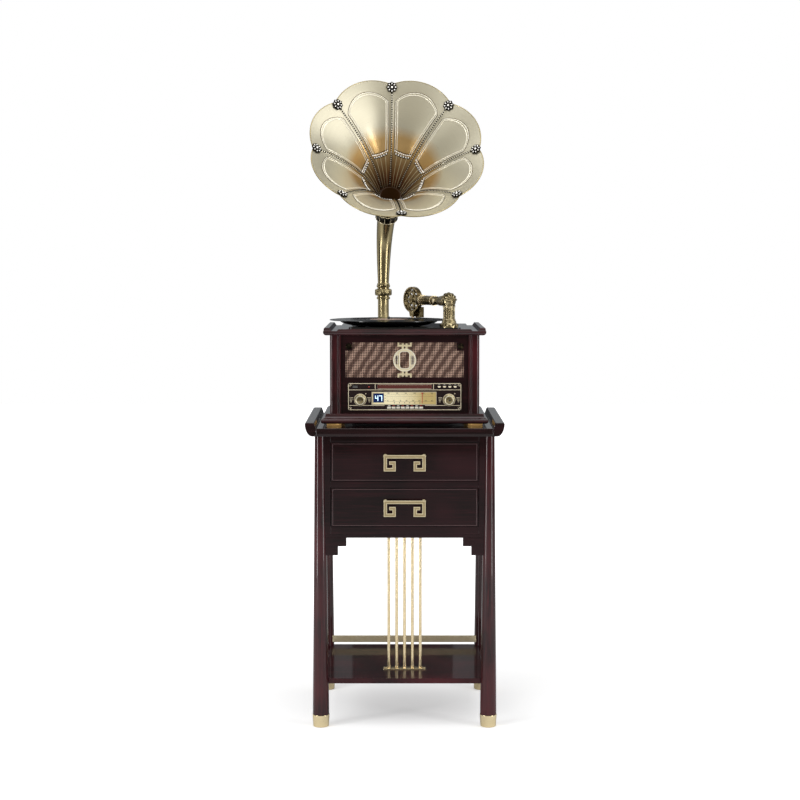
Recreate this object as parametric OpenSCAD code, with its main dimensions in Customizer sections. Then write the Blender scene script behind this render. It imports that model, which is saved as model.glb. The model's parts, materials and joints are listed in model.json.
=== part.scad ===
// Record player with a petal horn on a stand with two drawers.
// Millimetres, X to the right, Y to the back, Z up, floor at Z 0.

/* [Stand] */
// Width of the stand top over its raised ends
stand_w = 490; // [484:1:504]
// Depth of the stand top
stand_d = 430; // [428:1:444]
// Height of the level that the player stands on
tray_z = 750; // [742:1:764]
// Thickness of the stand top
slab_t = 20; // [17:0.5:24]
// Height of the raised ends above the stand top
end_rise = 14; // [10:0.5:18]
// Height of the drawer case
case_h = 246; // [238:1:256]
// Height of the top and middle case rails
rail_h = 17; // [14:0.5:20]
// Leg diameter at the foot
leg_foot_d = 41; // [38:0.5:43]
// Leg diameter under the stand top
leg_top_d = 26; // [24:0.5:27]
// Height of the lower shelf's top face
shelf_z = 121; // [100:1:150]
// Thickness of the lower shelf
shelf_t = 13; // [10:0.5:18]

/* [Harp rods] */
// Diameter of a rod
rod_d = 7.5; // [5:0.5:10]
// Distance between rods
rod_pitch = 20; // [16:0.5:24]
// Number of rods
rod_count = 5; // [3:2:7]

/* [Drawers] */
// Depth of a drawer box
drawer_d = 330; // [300:1:336]
// Height of a drawer box's sides
drawer_side_h = 70; // [50:1:80]
// Width of a pull
pull_w = 103; // [96:1:120]
// Height of a pull
pull_h = 40; // [38:0.5:46]
// Width of a pull's bars
pull_bar = 8; // [6:0.25:8.5]

/* [Player case] */
// Width over the corner posts
player_w = 371; // [366:1:374]
// Depth over the corner posts
player_d = 324; // [320:1:330]
// Height of the corner posts
cab_h = 194; // [190:1:200]
// Side of a corner post
post_w = 27.5; // [26:0.5:28]
// Height of the feet
foot_h = 7; // [6:0.5:12]
// Thickness of the base moulding
base_t = 24.5; // [21:0.5:26]
// Thickness of the top board
board_t = 15.5; // [13:0.5:18]

/* [Turntable] */
// Diameter of the record
record_d = 302; // [298:1:303]
// Diameter of the platter
platter_d = 250; // [244:1:262]
// Radius of the ring that the belt drives
drive_r = 60; // [56:0.5:62]
// Length of the tonearm from its pivot to the needle
arm_len = 190; // [186:1:194]
// Diameter of the arm tube
arm_d = 23.6; // [22:0.2:24]
// Diameter of the soundbox
soundbox_d = 66; // [62:1:68]

/* [Horn] */
// Radius of the mouth at the notches
mouth_r = 207.5; // [190:0.5:209]
// How far the petals reach past the notches
petal_out = 15; // [11:0.5:15.5]
// Depth of the bell
bell_depth = 200; // [188:1:203]
// Angle of the bell from upright
horn_tilt = 54.5; // [51:0.5:55]
// Radius of the neck's bend
bend_r = 172; // [160:1:173]
// Outer radius of the neck at its foot
neck_r = 14.6; // [13.5:0.1:15]

/* [Hidden] */
$fn = 72;

// Colours
rosewood = [0.17, 0.10, 0.11];
dark_wood = [0.22, 0.13, 0.14];
plain_wood = [0.62, 0.48, 0.34];
brass = [0.82, 0.72, 0.48];
pale_brass = [0.82, 0.77, 0.62];
old_brass = [0.45, 0.37, 0.25];
black_gloss = [0.06, 0.06, 0.07];
cream = [0.90, 0.85, 0.62];
steel = [0.66, 0.67, 0.69];
rubber = [0.09, 0.09, 0.09];

// Clearances
joint_gap = 0.1;
leg_gap = 0.2;
run_gap = 0.3;
front_gap = 0.55;
shaft_gap = 0.05;
button_gap = 0.35;

// Stand
stand_hw = stand_w / 2;
stand_hd = stand_d / 2;
slab_z = tray_z - slab_t;
end_w = 28;
end_foot = 18;
leg_x = stand_hw - 36;
leg_y = stand_hd - 30;
ferrule_h = 30;
ferrule_wall = 2.5;
leg_foot_r = leg_foot_d / 2;
leg_top_r = leg_top_d / 2;
tenon_r = leg_foot_r - ferrule_wall;

// Drawer case
case_z = slab_z - case_h;
foot_rail_h = rail_h + 3.5;
opening_hw = leg_x - 26;
opening_h = (case_h - 2 * rail_h - foot_rail_h) / 2;
lower_z = case_z + foot_rail_h;
upper_z = slab_z - rail_h - opening_h;
side_in = opening_hw + 1;
side_out = leg_x - 13;
case_front = -leg_y - 10;
frame_t = 16;
case_back = leg_y - 15;
back_t = 6;
runner_w = 18;
runner_h = 10;
bottom_t = 6;
fence_lift = 9;
fence_h = 18;
fence_t = 5;

// Apron
apron_h = 8;
apron_t = 14;
bracket_w = 38.7;
bracket_step_w = 17.8;
bracket_h = 21;
bracket_step_h = 22.6;

// Drawers
face_t = 16;
face_front = case_front - 2;
face_back = face_front + face_t;
face_hw = opening_hw - 1;
box_hw = opening_hw - 1.5;
box_wall = 10;
box_floor_t = 6;
box_floor_z = 6;
pull_t = 5;
pull_standoff = stand_hd - pull_t + face_front - 0.5;
pull_rise = (opening_h - pull_h) / 2 - 1;

// Player case
player_y = 10;
post_hw = player_w / 2;
post_hd = player_d / 2;
base_z = tray_z + foot_h;
cab_z = base_z + base_t;
board_z = cab_z + cab_h;
deck_z = board_z + board_t;
base_over = 22;
board_over_x = 15.9;
board_over_y = 16;
foot_r = 19;
foot_x = post_hw - 9;
foot_y = post_hd - 25;
panel_hw = post_hw - post_w;
panel_y = -post_hd + 4;
panel_t = 10;

// Grille, measured up from the foot of the posts
grille_hw = 147.2;
grille_lo = 88.6;
grille_hi = 176;
notch_w = 18;
notch_h = 20;
rebate = 4;
cloth_set = 4;
cloth_t = 3;
grille_mid = (grille_lo + grille_hi) / 2;
grille_half = (grille_hi - grille_lo) / 2;
speaker_x = 78;
speaker_r = 40;
speaker_depth = 36;
magnet_r = 24;
magnet_t = 14;

// Fascia, measured up from the foot of the posts
fascia_hw = 141.5;
fascia_lo = 7;
fascia_hi = 75.8;
flange_t = 3;
body_t = 3;
body_in = 3.5;
fascia_y = panel_y - flange_t;
fascia_back = panel_y + body_t;
dial_left = -81;
dial_right = 78;
dial_lo = 22.3;
dial_hi = 52.5;
dial_t = 1.5;
display_left = -78;
display_right = -51.7;
pointer_x = 43.8;
knob_x = 110.4;
knob_z = 33.4;
knob_r = 14.5;
knob_h = 14;
shaft_r = 3;
shaft_end = fascia_back + 11.8;
key_w = 9;
key_h = 5.6;
key_z = 66.1;
key_x = 85.7;
key_pitch = 13.2;
preset_w = 9;
preset_h = 4.6;
preset_z = 14.1;
preset_x = -38.8;
preset_pitch = 11.4;
cap_out = 2;
cap_flange = 0.8;
spacer_r = 1.8;
spacer_off = key_w / 2 + cap_flange + spacer_r + 0.6;
control_board_hw = 134;
control_board_hi = 54;
key_board_hw = 3 * key_pitch / 2 + spacer_off + spacer_r;
board_y = fascia_back + 3.7;
board_thick = 1.6;

// Disc tray
door_hw = 67.6;
door_lo = 60.4;
door_hi = 72.1;
door_t = 3.8;
tray_hw = 64;
tray_plate_lo = 61.4;
tray_plate_t = 6;
tray_len = 142;
disc_r = 60.5;
mechanism_len = 140;

// Turntable
deck_t = 2.5;
plate_z = deck_z + deck_t;
spin_x = -40;
spin_y = -8;
platter_r = platter_d / 2;
platter_lo = plate_z + 2;
platter_top = plate_z + 14.5;
spindle_r = 3.5;
bearing_r = 5;
record_t = 1.6;
pulley_r = 6;
pulley_away = drive_r + 18;
pulley_angle = 60;
pulley_x = spin_x + pulley_away * cos(pulley_angle);
pulley_y = spin_y + pulley_away * sin(pulley_angle);
motor_shaft_r = 1.5;
belt_gap = 0.3;
belt_t = 1;

// Tonearm
pivot_x = 111;
pivot_y = -105;
arm_angle = 118;
arm_z = plate_z + 64.5;
column_r = 14.75;
column_top = arm_z - 12;
spigot_r = 8;
knuckle_x = 57;
tongue_hw = 4.5;
fork_hw = 4.8;
pin_r = 3;
arm_r = arm_d / 2;
soundbox_r = soundbox_d / 2;
soundbox_turn = 10;
socket_len = 10;
tube_end = arm_len - soundbox_r - 7;
record_top = platter_top + record_t;

// Horn
horn_x = -55.6;
horn_y = 164;
horn_yaw = 6;
nut_z = deck_z + 65.5;
socket_top = deck_z + 102.8;
horn_bore_r = 11;
neck_z = socket_top + run_gap + 5;
bend_z = deck_z + 184;
neck_wall = 2.5;
neck_reach = 13;
neck_side = 10;
throat_r = 28.5;
throat_lap = 8;
lap_gap = 0.4;
petals = 8;
bell_wall = 2.4;
flare_dip = 20;
bow = 3.5;
ridge = 2.2;
petal_lift = 8;
throat_h = bend_r * (1 - cos(horn_tilt)) + neck_reach * sin(horn_tilt);
throat_z = bend_z + bend_r * sin(horn_tilt) + neck_reach * cos(horn_tilt);
mouth_h = throat_h + bell_depth * sin(horn_tilt);
mouth_z = throat_z + bell_depth * cos(horn_tilt);

// Radius of a leg at height z
function leg_r(z) =
    leg_top_r + (slab_z - z) * (leg_foot_r - leg_top_r) / (slab_z - ferrule_h);

// Four legs grown by extra, for cutting what meets them
module leg_cuts(extra = leg_gap) {
    top = slab_z + 5;
    for (sx = [-1, 1], sy = [-1, 1])
        translate([sx * leg_x, sy * leg_y, ferrule_h])
            cylinder(h = top - ferrule_h, r1 = leg_foot_r + extra, r2 = leg_r(top) + extra);
}

// Box from its two corners
module span(lo, hi) {
    translate(lo)
        cube(hi - lo);
}

// The same thing on both sides of the middle
module both_sides() {
    children();
    mirror([1, 0, 0])
        children();
}

// Cylinder along Y from y0 to y1 at x, z
module bar_y(x, z, r, y0, y1) {
    translate([x, y1, z])
        rotate([90, 0, 0])
            cylinder(h = y1 - y0, r = r);
}

// Outline drawn in X and Z, given a depth from y0 to y1
module plate_y(y0, y1) {
    translate([0, y1, 0])
        rotate([90, 0, 0])
            linear_extrude(y1 - y0)
                children();
}

// Moves a piece to the player's middle
module on_player() {
    translate([0, player_y, 0])
        children();
}

// Section of a raised end, X from the middle, Z from the stand top's level
module end_section() {
    x0 = stand_hw - end_w;
    tip = stand_hw - end_foot;
    drop = slab_t + end_rise - 2;
    curve = [for (a = [0 : 10 : 90]) [tip + end_foot * sin(a), -slab_t + drop * (1 - cos(a))]];
    polygon(concat([[x0 + joint_gap, -slab_t]], curve,
        [[stand_hw - 3, end_rise], [x0 + 5, end_rise], [x0 + joint_gap, 0]]));
}

module stand_top() {
    color(rosewood) {
        span([-stand_hw + end_w, -stand_hd, slab_z], [stand_hw - end_w, stand_hd, tray_z]);
        both_sides()
            translate([0, 0, tray_z])
                plate_y(-stand_hd, stand_hd)
                    end_section();
    }
}

module stand_legs() {
    section = [
        [0, ferrule_wall], [tenon_r, ferrule_wall], [tenon_r, ferrule_h], [leg_foot_r, ferrule_h],
        [leg_top_r, slab_z], [0, slab_z]
    ];
    color(rosewood)
        for (sx = [-1, 1], sy = [-1, 1])
            translate([sx * leg_x, sy * leg_y, 0])
                rotate_extrude()
                    polygon(section);
}

module leg_ferrules() {
    inner = tenon_r + joint_gap;
    outer = leg_foot_r + 0.8;
    section = [
        [0, 0], [outer - 1.8, 0], [outer, ferrule_h - 2], [outer, ferrule_h], [inner, ferrule_h],
        [inner, ferrule_wall], [0, ferrule_wall]
    ];
    color(brass)
        for (sx = [-1, 1], sy = [-1, 1])
            translate([sx * leg_x, sy * leg_y, 0])
                rotate_extrude()
                    polygon(section);
}

module case_panels() {
    inside = case_front + frame_t;
    color(dark_wood)
        difference() {
            union() {
                both_sides() {
                    span([side_in, inside, case_z - apron_h], [side_out, case_back, slab_z]);
                    for (z = [lower_z, upper_z])
                        span([side_in - runner_w, inside, z - runner_h],
                            [side_in - joint_gap, case_back - 10, z]);
                }
                span([-side_out, case_back + joint_gap, case_z], [side_out, case_back + back_t, slab_z]);
                span([-side_in + joint_gap, inside, case_z],
                    [side_in - joint_gap, case_back, case_z + bottom_t]);
            }
            leg_cuts();
        }
}

module case_frame() {
    stile_out = leg_x - 6;
    color(rosewood)
        difference() {
            union() {
                both_sides()
                    span([opening_hw, case_front, case_z], [stile_out, case_front + frame_t, slab_z]);
                for (z = [[case_z, lower_z], [lower_z + opening_h, upper_z], [slab_z - rail_h, slab_z]])
                    span([-opening_hw + joint_gap, case_front, z[0]],
                        [opening_hw - joint_gap, case_front + frame_t, z[1]]);
            }
            leg_cuts();
        }
}

module front_apron() {
    apron_hw = leg_x - 6;
    step_x = opening_hw - bracket_w;
    inner_x = opening_hw - bracket_step_w;
    z0 = case_z - apron_h;
    color(rosewood)
        difference() {
            union() {
                span([-apron_hw, case_front, z0], [apron_hw, case_front + apron_t, case_z - joint_gap]);
                both_sides()
                    plate_y(case_front, case_front + apron_t)
                        union() {
                            translate([step_x, z0 - joint_gap - bracket_h])
                                square([apron_hw - step_x, bracket_h]);
                            translate([inner_x, z0 - joint_gap - bracket_h - bracket_step_h])
                                square([apron_hw - inner_x, bracket_step_h + 1]);
                        }
            }
            leg_cuts();
        }
}

module lower_shelf() {
    color(rosewood)
        difference() {
            span([-leg_x + 9, -leg_y - 5, shelf_z - shelf_t], [leg_x - 9, leg_y + 5, shelf_z]);
            leg_cuts();
        }
}

module shelf_rail() {
    color(brass)
        difference() {
            span([-leg_x + 10, leg_y - 12.5, shelf_z + fence_lift],
                [leg_x - 10, leg_y - 12.5 + fence_t, shelf_z + fence_lift + fence_h]);
            leg_cuts();
        }
}

module harp_rods() {
    plate_hw = rod_pitch * (rod_count - 1) / 2 + 14;
    plate_t = 3;
    harp_y = -90;
    color(brass) {
        for (z = [shelf_z, case_z - plate_t])
            span([-plate_hw, harp_y - 11, z], [plate_hw, harp_y + 11, z + plate_t]);
        for (i = [0 : rod_count - 1])
            translate([(i - (rod_count - 1) / 2) * rod_pitch, harp_y, shelf_z + plate_t + joint_gap])
                cylinder(h = case_z - shelf_z - 2 * (plate_t + joint_gap), d = rod_d);
    }
}

// Drawers, z0 is the foot of the opening
module drawer_front(z0) {
    bead_x = 3.5;
    bead_z = 1.5;
    bead_w = 1.8;
    bead_out = 1;
    lo = z0 + front_gap;
    hi = z0 + opening_h - front_gap;
    color(rosewood)
        union() {
            span([-face_hw, face_front, lo], [face_hw, face_back, hi]);
            difference() {
                span([-face_hw + bead_x, face_front - bead_out, lo + bead_z],
                    [face_hw - bead_x, face_front + 1, hi - bead_z]);
                span([-face_hw + bead_x + bead_w, face_front - 2, lo + bead_z + bead_w],
                    [face_hw - bead_x - bead_w, face_front, hi - bead_z - bead_w]);
            }
        }
}

module drawer_box(z0) {
    front = face_back + joint_gap;
    rear = face_back + drawer_d;
    lo = z0 + run_gap;
    color(plain_wood) {
        both_sides()
            span([box_hw - box_wall, front, lo], [box_hw, rear, z0 + drawer_side_h]);
        span([-box_hw + box_wall + joint_gap, rear - box_wall, lo],
            [box_hw - box_wall - joint_gap, rear, z0 + drawer_side_h]);
        span([-box_hw + box_wall + joint_gap, front, z0 + box_floor_z],
            [box_hw - box_wall - joint_gap, rear - box_wall - joint_gap, z0 + box_floor_z + box_floor_t]);
    }
}

// Outline of a Greek key pull, its foot at Z 0
module pull_outline() {
    hw = pull_w / 2;
    inner = 22;
    hook_z = 24.5;
    translate([-hw, pull_h - pull_bar])
        square([pull_w, pull_bar]);
    both_sides() {
        translate([hw - pull_bar, 0])
            square([pull_bar, pull_h]);
        translate([inner, 0])
            square([hw - inner, pull_bar]);
        translate([inner, 0])
            square([pull_bar, hook_z]);
        translate([inner, hook_z - pull_bar])
            square([2 * pull_bar, pull_bar]);
    }
}

module drawer_pull(z0) {
    plate_y0 = face_front - pull_standoff - pull_t;
    foot = z0 + pull_rise;
    post_x = pull_w / 2 - pull_bar / 2;
    post_z = foot + pull_h - pull_bar / 2;
    color(pale_brass)
        union() {
            translate([0, 0, foot])
                plate_y(plate_y0, plate_y0 + pull_t)
                    pull_outline();
            both_sides() {
                bar_y(post_x, post_z, 3.2, plate_y0 + 2, face_front);
                bar_y(post_x, post_z, 5, face_front - 1.5, face_front);
            }
        }
}

module player_feet() {
    section = [
        [0, tray_z], [foot_r - 2, tray_z], [foot_r, tray_z + 2.5], [foot_r, base_z - 3],
        [foot_r - 2, base_z], [0, base_z]
    ];
    color(brass)
        on_player()
            for (sx = [-1, 1], sy = [-1, 1])
                translate([sx * foot_x, sy * foot_y, 0])
                    rotate_extrude()
                        polygon(section);
}

// Half section of the base moulding, reach is its widest half width
base_bead = 6;
base_step = 2 * base_bead + 0.8;
function base_side(reach) = concat(
    [[reach - base_bead, 0], [reach - base_bead + 1.8, 0.8]],
    [for (a = [-60 : 15 : 75]) [reach + base_bead * (cos(a) - 1), 0.5 + base_bead * (1 + sin(a))]],
    [for (a = [0 : 15 : 90]) [reach - 5 - 6.5 * sin(a), base_t - 2 - (base_t - 2 - base_step) * cos(a)]],
    [[reach - 12, base_t - 2], [reach - 12, base_t]]);

// Half section of the top board, with a rolled end past a groove where roll is not 0
function board_side(reach, roll) = concat(
    [[reach - 7, 0]],
    [for (a = [-60 : 15 : 30]) [reach - 8 + 8 * cos(a), 8 + 8 * sin(a)]],
    [[reach - 2, board_t - 1.5 + roll], [reach - 4, board_t + roll]]);

// Closes a half section to a full outline
module mirrored(side) {
    last = len(side) - 1;
    polygon(concat(side, [for (i = [last : -1 : 0]) [-side[i][0], side[i][1]]]));
}

module base_moulding() {
    reach_x = post_hw + base_over;
    reach_y = post_hd + base_over;
    color(rosewood)
        on_player()
            translate([0, 0, base_z])
                intersection() {
                    plate_y(-reach_y - 1, reach_y + 1)
                        mirrored(base_side(reach_x));
                    rotate([0, 0, 90])
                        plate_y(-reach_x - 1, reach_x + 1)
                            mirrored(base_side(reach_y));
                }
}

module corner_posts() {
    r = 8;
    groove_r = 1.3;
    color(rosewood)
        on_player()
            for (sx = [0, 1], sy = [0, 1])
                mirror([sx, 0, 0])
                    mirror([0, sy, 0])
                        translate([post_hw, post_hd, cab_z])
                            linear_extrude(cab_h)
                                difference() {
                                    union() {
                                        translate([-post_w, -post_w])
                                            square([post_w - r, post_w]);
                                        translate([-post_w, -post_w])
                                            square([post_w, post_w - r]);
                                        translate([-r, -r])
                                            circle(r);
                                    }
                                    for (g = [4.5, 8.5]) {
                                        translate([-post_w + g, 0])
                                            circle(groove_r);
                                        translate([0, -post_w + g])
                                            circle(groove_r);
                                    }
                                }
}

module player_panels() {
    color(rosewood)
        on_player()
            both_sides()
                span([post_hw - 12, -post_hd + post_w, cab_z], [post_hw - 3, post_hd - post_w, board_z]);
}

module back_panel() {
    slot_w = 3;
    color(dark_wood)
        on_player()
            difference() {
                span([-panel_hw, post_hd - 14, cab_z], [panel_hw, post_hd - 6, board_z]);
                for (i = [-7 : 7], row = [0, 1])
                    span([i * 12 - slot_w / 2, post_hd - 15, cab_z + 110 + row * 34],
                        [i * 12 + slot_w / 2, post_hd - 5, cab_z + 136 + row * 34]);
                span([96, post_hd - 15, cab_z + 20], [124, post_hd - 5, cab_z + 40]);
                for (x = [-120, -104, -88, -72])
                    bar_y(x, cab_z + 30, 4, post_hd - 15, post_hd - 5);
            }
}

module front_panel() {
    color(rosewood)
        on_player()
            difference() {
                span([-panel_hw, panel_y, cab_z], [panel_hw, panel_y + panel_t, board_z]);
                translate([0, 0, cab_z]) {
                    plate_y(panel_y - 1, panel_y + cloth_set + 1)
                        difference() {
                            translate([-grille_hw, grille_lo])
                                square([2 * grille_hw, grille_hi - grille_lo]);
                            both_sides()
                                translate([grille_hw - notch_w, grille_hi - notch_h])
                                    square([notch_w + 1, notch_h + 1]);
                        }
                    span([-grille_hw - rebate, panel_y + cloth_set, grille_lo - rebate],
                        [grille_hw + rebate, panel_y + panel_t + 1, grille_hi + rebate]);
                    span([-fascia_hw + body_in - run_gap, panel_y - 1, fascia_lo + body_in - run_gap],
                        [fascia_hw - body_in + run_gap, panel_y + panel_t + 1, fascia_hi - body_in + run_gap]);
                }
            }
}

module grille_cloth() {
    side = rebate - run_gap;
    color([0.45, 0.34, 0.27])
        on_player()
            translate([0, 0, cab_z])
                span([-grille_hw - side, panel_y + cloth_set, grille_lo - side],
                    [grille_hw + side, panel_y + cloth_set + cloth_t, grille_hi + side]);
}

// One bracket of the ornament, from the ring up to the grille's edge
module ornament_bracket() {
    top = grille_half - 0.3;
    translate([-7.5, 24])
        square([5.5, top - 26]);
    translate([2, 24])
        square([5.5, top - 26]);
    translate([-17.5, top - 10])
        square([35, 4.5]);
    both_sides()
        translate([13, top - 10])
            square([4.5, 10]);
}

module grille_ornament() {
    ring_r = 28.5;
    hole_hw = 11.6;
    hole_hh = 20.4;
    hole_r = 7;
    thick = 6;
    color(brass)
        on_player()
            translate([0, 0, cab_z + grille_mid])
                plate_y(panel_y + cloth_set - thick, panel_y + cloth_set) {
                    difference() {
                        circle(ring_r);
                        translate([-hole_hw, -hole_hh + hole_r])
                            square([2 * hole_hw, 2 * (hole_hh - hole_r)]);
                        translate([-hole_hw + hole_r, -hole_hh])
                            square([2 * (hole_hw - hole_r), 2 * hole_hh]);
                        for (sx = [-1, 1], sz = [-1, 1])
                            translate([sx * (hole_hw - hole_r), sz * (hole_hh - hole_r)])
                                circle(hole_r);
                        both_sides()
                            intersection() {
                                circle(ring_r - 4);
                                translate([hole_hw + 4, -11])
                                    square([12, 22]);
                            }
                    }
                    ornament_bracket();
                    mirror([0, 1])
                        ornament_bracket();
                }
}

// A button's opening in the fascia, x and z at its middle
module button_hole(x, z, w, h) {
    span([x - w / 2 - button_gap, fascia_y - 1, z - h / 2 - button_gap],
        [x + w / 2 + button_gap, fascia_back + 1, z + h / 2 + button_gap]);
}

module fascia() {
    color(black_gloss)
        on_player()
            translate([0, 0, cab_z])
                difference() {
                    union() {
                        span([-fascia_hw, fascia_y, fascia_lo], [fascia_hw, panel_y, fascia_hi]);
                        span([-fascia_hw + body_in, panel_y - 1, fascia_lo + body_in],
                            [fascia_hw - body_in, fascia_back, fascia_hi - body_in]);
                        for (x = [-128, 128], z = [18, 50])
                            bar_y(x, z, 2.5, fascia_back - 1, board_y);
                        for (x = [key_x - spacer_off, key_x + 3 * key_pitch + spacer_off])
                            bar_y(x, key_z, spacer_r, fascia_back - 1, board_y);
                    }
                    span([dial_left, fascia_y - 1, dial_lo], [dial_right, panel_y, dial_hi]);
                    span([-door_hw - 0.6, fascia_y - 1, door_lo - 0.6],
                        [door_hw + 0.6, fascia_back + 1, door_hi + 0.6]);
                    for (sx = [-1, 1])
                        bar_y(sx * knob_x, knob_z, shaft_r + shaft_gap, fascia_y - 1, fascia_back + 1);
                    for (i = [0 : 3])
                        button_hole(key_x + i * key_pitch, key_z, key_w, key_h);
                    for (i = [0 : 7])
                        button_hole(preset_x + i * preset_pitch, preset_z, preset_w, preset_h);
                    span([-130, fascia_y - 1, key_z - 2.5], [-116, fascia_y + 2, key_z + 2.5]);
                }
}

module dial_plate() {
    color(cream)
        on_player()
            translate([0, 0, cab_z])
                span([dial_left + 0.2, panel_y - dial_t, dial_lo + 0.2],
                    [dial_right - 0.2, panel_y, dial_hi - 0.2]);
}

module display_window() {
    color([0.08, 0.16, 0.30])
        on_player()
            translate([0, 0, cab_z])
                span([display_left, panel_y - dial_t - 0.7, dial_lo + 4.5],
                    [display_right, panel_y - dial_t, dial_hi - 2.8]);
}

module dial_pointer() {
    y1 = panel_y - dial_t - run_gap;
    color([0.70, 0.12, 0.10])
        on_player()
            translate([pointer_x, 0, cab_z])
                union() {
                    span([-0.6, y1 - 0.7, dial_lo + 2.5], [0.6, y1, dial_hi - 2]);
                    span([-2, y1 - 0.7, dial_hi - 3.5], [2, y1, dial_hi - 1]);
                }
}

module disc_tray() {
    plate_front = fascia_y - 1 + door_t;
    disc_y = plate_front + 6 + disc_r;
    color([0.42, 0.20, 0.18])
        on_player()
            translate([0, 0, cab_z])
                union() {
                    span([-door_hw, fascia_y - 1, door_lo], [door_hw, plate_front, door_hi]);
                    difference() {
                        span([-tray_hw, plate_front - 1, tray_plate_lo],
                            [tray_hw, plate_front + tray_len, tray_plate_lo + tray_plate_t]);
                        translate([0, disc_y, tray_plate_lo + tray_plate_t - 2.5])
                            cylinder(h = 5, r = disc_r);
                        span([-14, disc_y - 14, tray_plate_lo - 1],
                            [14, plate_front + tray_len + 1, tray_plate_lo + tray_plate_t + 1]);
                    }
                }
}

// A knob with its shaft, x at its middle
module control_knob(x) {
    flutes = 30;
    section = [
        [0, 0], [knob_r, 0], [knob_r, 3.5], [knob_r - 1, 4.5], [knob_r - 1.5, knob_h - 1],
        [knob_r - 2.8, knob_h], [knob_r - 5, knob_h], [knob_r - 5.5, knob_h - 0.6], [0, knob_h - 0.6]
    ];
    color(pale_brass)
        on_player()
            union() {
                bar_y(x, cab_z + knob_z, shaft_r, fascia_y - 2, shaft_end);
                translate([x, fascia_y - 0.4, cab_z + knob_z])
                    rotate([90, 0, 0])
                        difference() {
                            rotate_extrude()
                                polygon(section);
                            for (i = [0 : flutes - 1])
                                rotate([0, 0, i * 360 / flutes])
                                    translate([knob_r - 1.3, 0, 5])
                                        cylinder(h = knob_h, r = 0.8, $fn = 16);
                        }
            }
}

// A push button, x and z at its middle, with the rim that holds it behind the fascia
module push_button(x, z, w, h) {
    y0 = fascia_back + run_gap;
    color(pale_brass)
        on_player()
            translate([x, 0, cab_z + z])
                union() {
                    span([-w / 2, fascia_y - cap_out, -h / 2], [w / 2, y0 + 1, h / 2]);
                    span([-w / 2 - cap_flange, y0, -h / 2 - cap_flange],
                        [w / 2 + cap_flange, y0 + 1.5, h / 2 + cap_flange]);
                }
}

module top_key(i) {
    push_button(key_x + (i - 1) * key_pitch, key_z, key_w, key_h);
}

module preset(i) {
    push_button(preset_x + (i - 1) * preset_pitch, preset_z, preset_w, preset_h);
}

module speakers() {
    r = speaker_r;
    dome_r = r / 4;
    frame_r = r - 4;
    cone_h = speaker_depth - magnet_t;
    section = [
        [0, 6], [dome_r, 6], [r - 8, 1.5], [r - 2, 1.5], [r, 0], [r, 3], [frame_r, 3],
        [magnet_r - 2, cone_h], [magnet_r, cone_h], [magnet_r, speaker_depth], [0, speaker_depth]
    ];
    color(rubber)
        on_player()
            for (sx = [-1, 1])
                translate([sx * speaker_x, panel_y + cloth_set + cloth_t, cab_z + grille_mid])
                    rotate([-90, 0, 0])
                        rotate_extrude()
                            polygon(section);
}

module electronics() {
    hub_y = panel_y + panel_t;
    rear = hub_y + mechanism_len;
    // Control boards behind the fascia
    color([0.10, 0.35, 0.20])
        on_player()
            translate([0, 0, cab_z]) {
                difference() {
                    span([-control_board_hw, board_y, 11.5],
                        [control_board_hw, board_y + board_thick, control_board_hi]);
                    for (sx = [-1, 1])
                        bar_y(sx * knob_x, knob_z, shaft_r + 0.6, board_y - 1, board_y + 3);
                }
                translate([key_x + 3 * key_pitch / 2, 0, 0])
                    span([-key_board_hw, board_y, key_z - 6],
                        [key_board_hw, board_y + board_thick, key_z + 5.4]);
            }
    // Turning controls behind the board
    color(steel)
        on_player()
            for (sx = [-1, 1])
                difference() {
                    bar_y(sx * knob_x, cab_z + knob_z, 9, board_y + board_thick + joint_gap, shaft_end + 5);
                    bar_y(sx * knob_x, cab_z + knob_z, shaft_r + shaft_gap, board_y, shaft_end + 0.5);
                }
    // Disc mechanism
    color(steel)
        on_player()
            translate([0, 0, cab_z])
                difference() {
                    span([-72, hub_y, 58.4], [72, rear, 80]);
                    span([-tray_hw - 0.6, hub_y - 1, tray_plate_lo - 0.4],
                        [tray_hw + 0.6, rear - 4, tray_plate_lo + tray_plate_t + 0.8]);
                }
    // Mains transformer and inlet
    color([0.35, 0.36, 0.38])
        on_player() {
            span([-115, 40, cab_z], [-50, 95, cab_z + 52]);
            span([96.3, post_hd - 30, cab_z + 20.3], [123.7, post_hd - 6, cab_z + 39.7]);
        }
}

module top_board() {
    reach_x = post_hw + board_over_x;
    reach_y = post_hd + board_over_y;
    roll = 3.5;
    groove = 4.5;
    color(rosewood)
        difference() {
            on_player()
                translate([0, 0, board_z])
                    intersection() {
                        plate_y(-reach_y - 1, reach_y + 1)
                            difference() {
                                mirrored(board_side(reach_x, roll));
                                translate([-reach_x + 36, board_t])
                                    square([2 * (reach_x - 36), 10]);
                                both_sides()
                                    polygon([
                                        [reach_x - 15, board_t + 10], [reach_x - 15, board_t + roll],
                                        [reach_x - 20.5, board_t - groove],
                                        [reach_x - 34, board_t - groove], [reach_x - 38, board_t],
                                        [reach_x - 38, board_t + 10]
                                    ]);
                            }
                        rotate([0, 0, 90])
                            plate_y(-reach_x - 1, reach_x + 1)
                                mirrored(board_side(reach_y, roll));
                    }
            translate([spin_x, spin_y, board_z - 1])
                cylinder(h = board_t + 3, r = bearing_r + 4 + run_gap);
            translate([pulley_x, pulley_y, board_z - 1])
                cylinder(h = board_t + 3, r = 5.5);
        }
}

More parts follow.
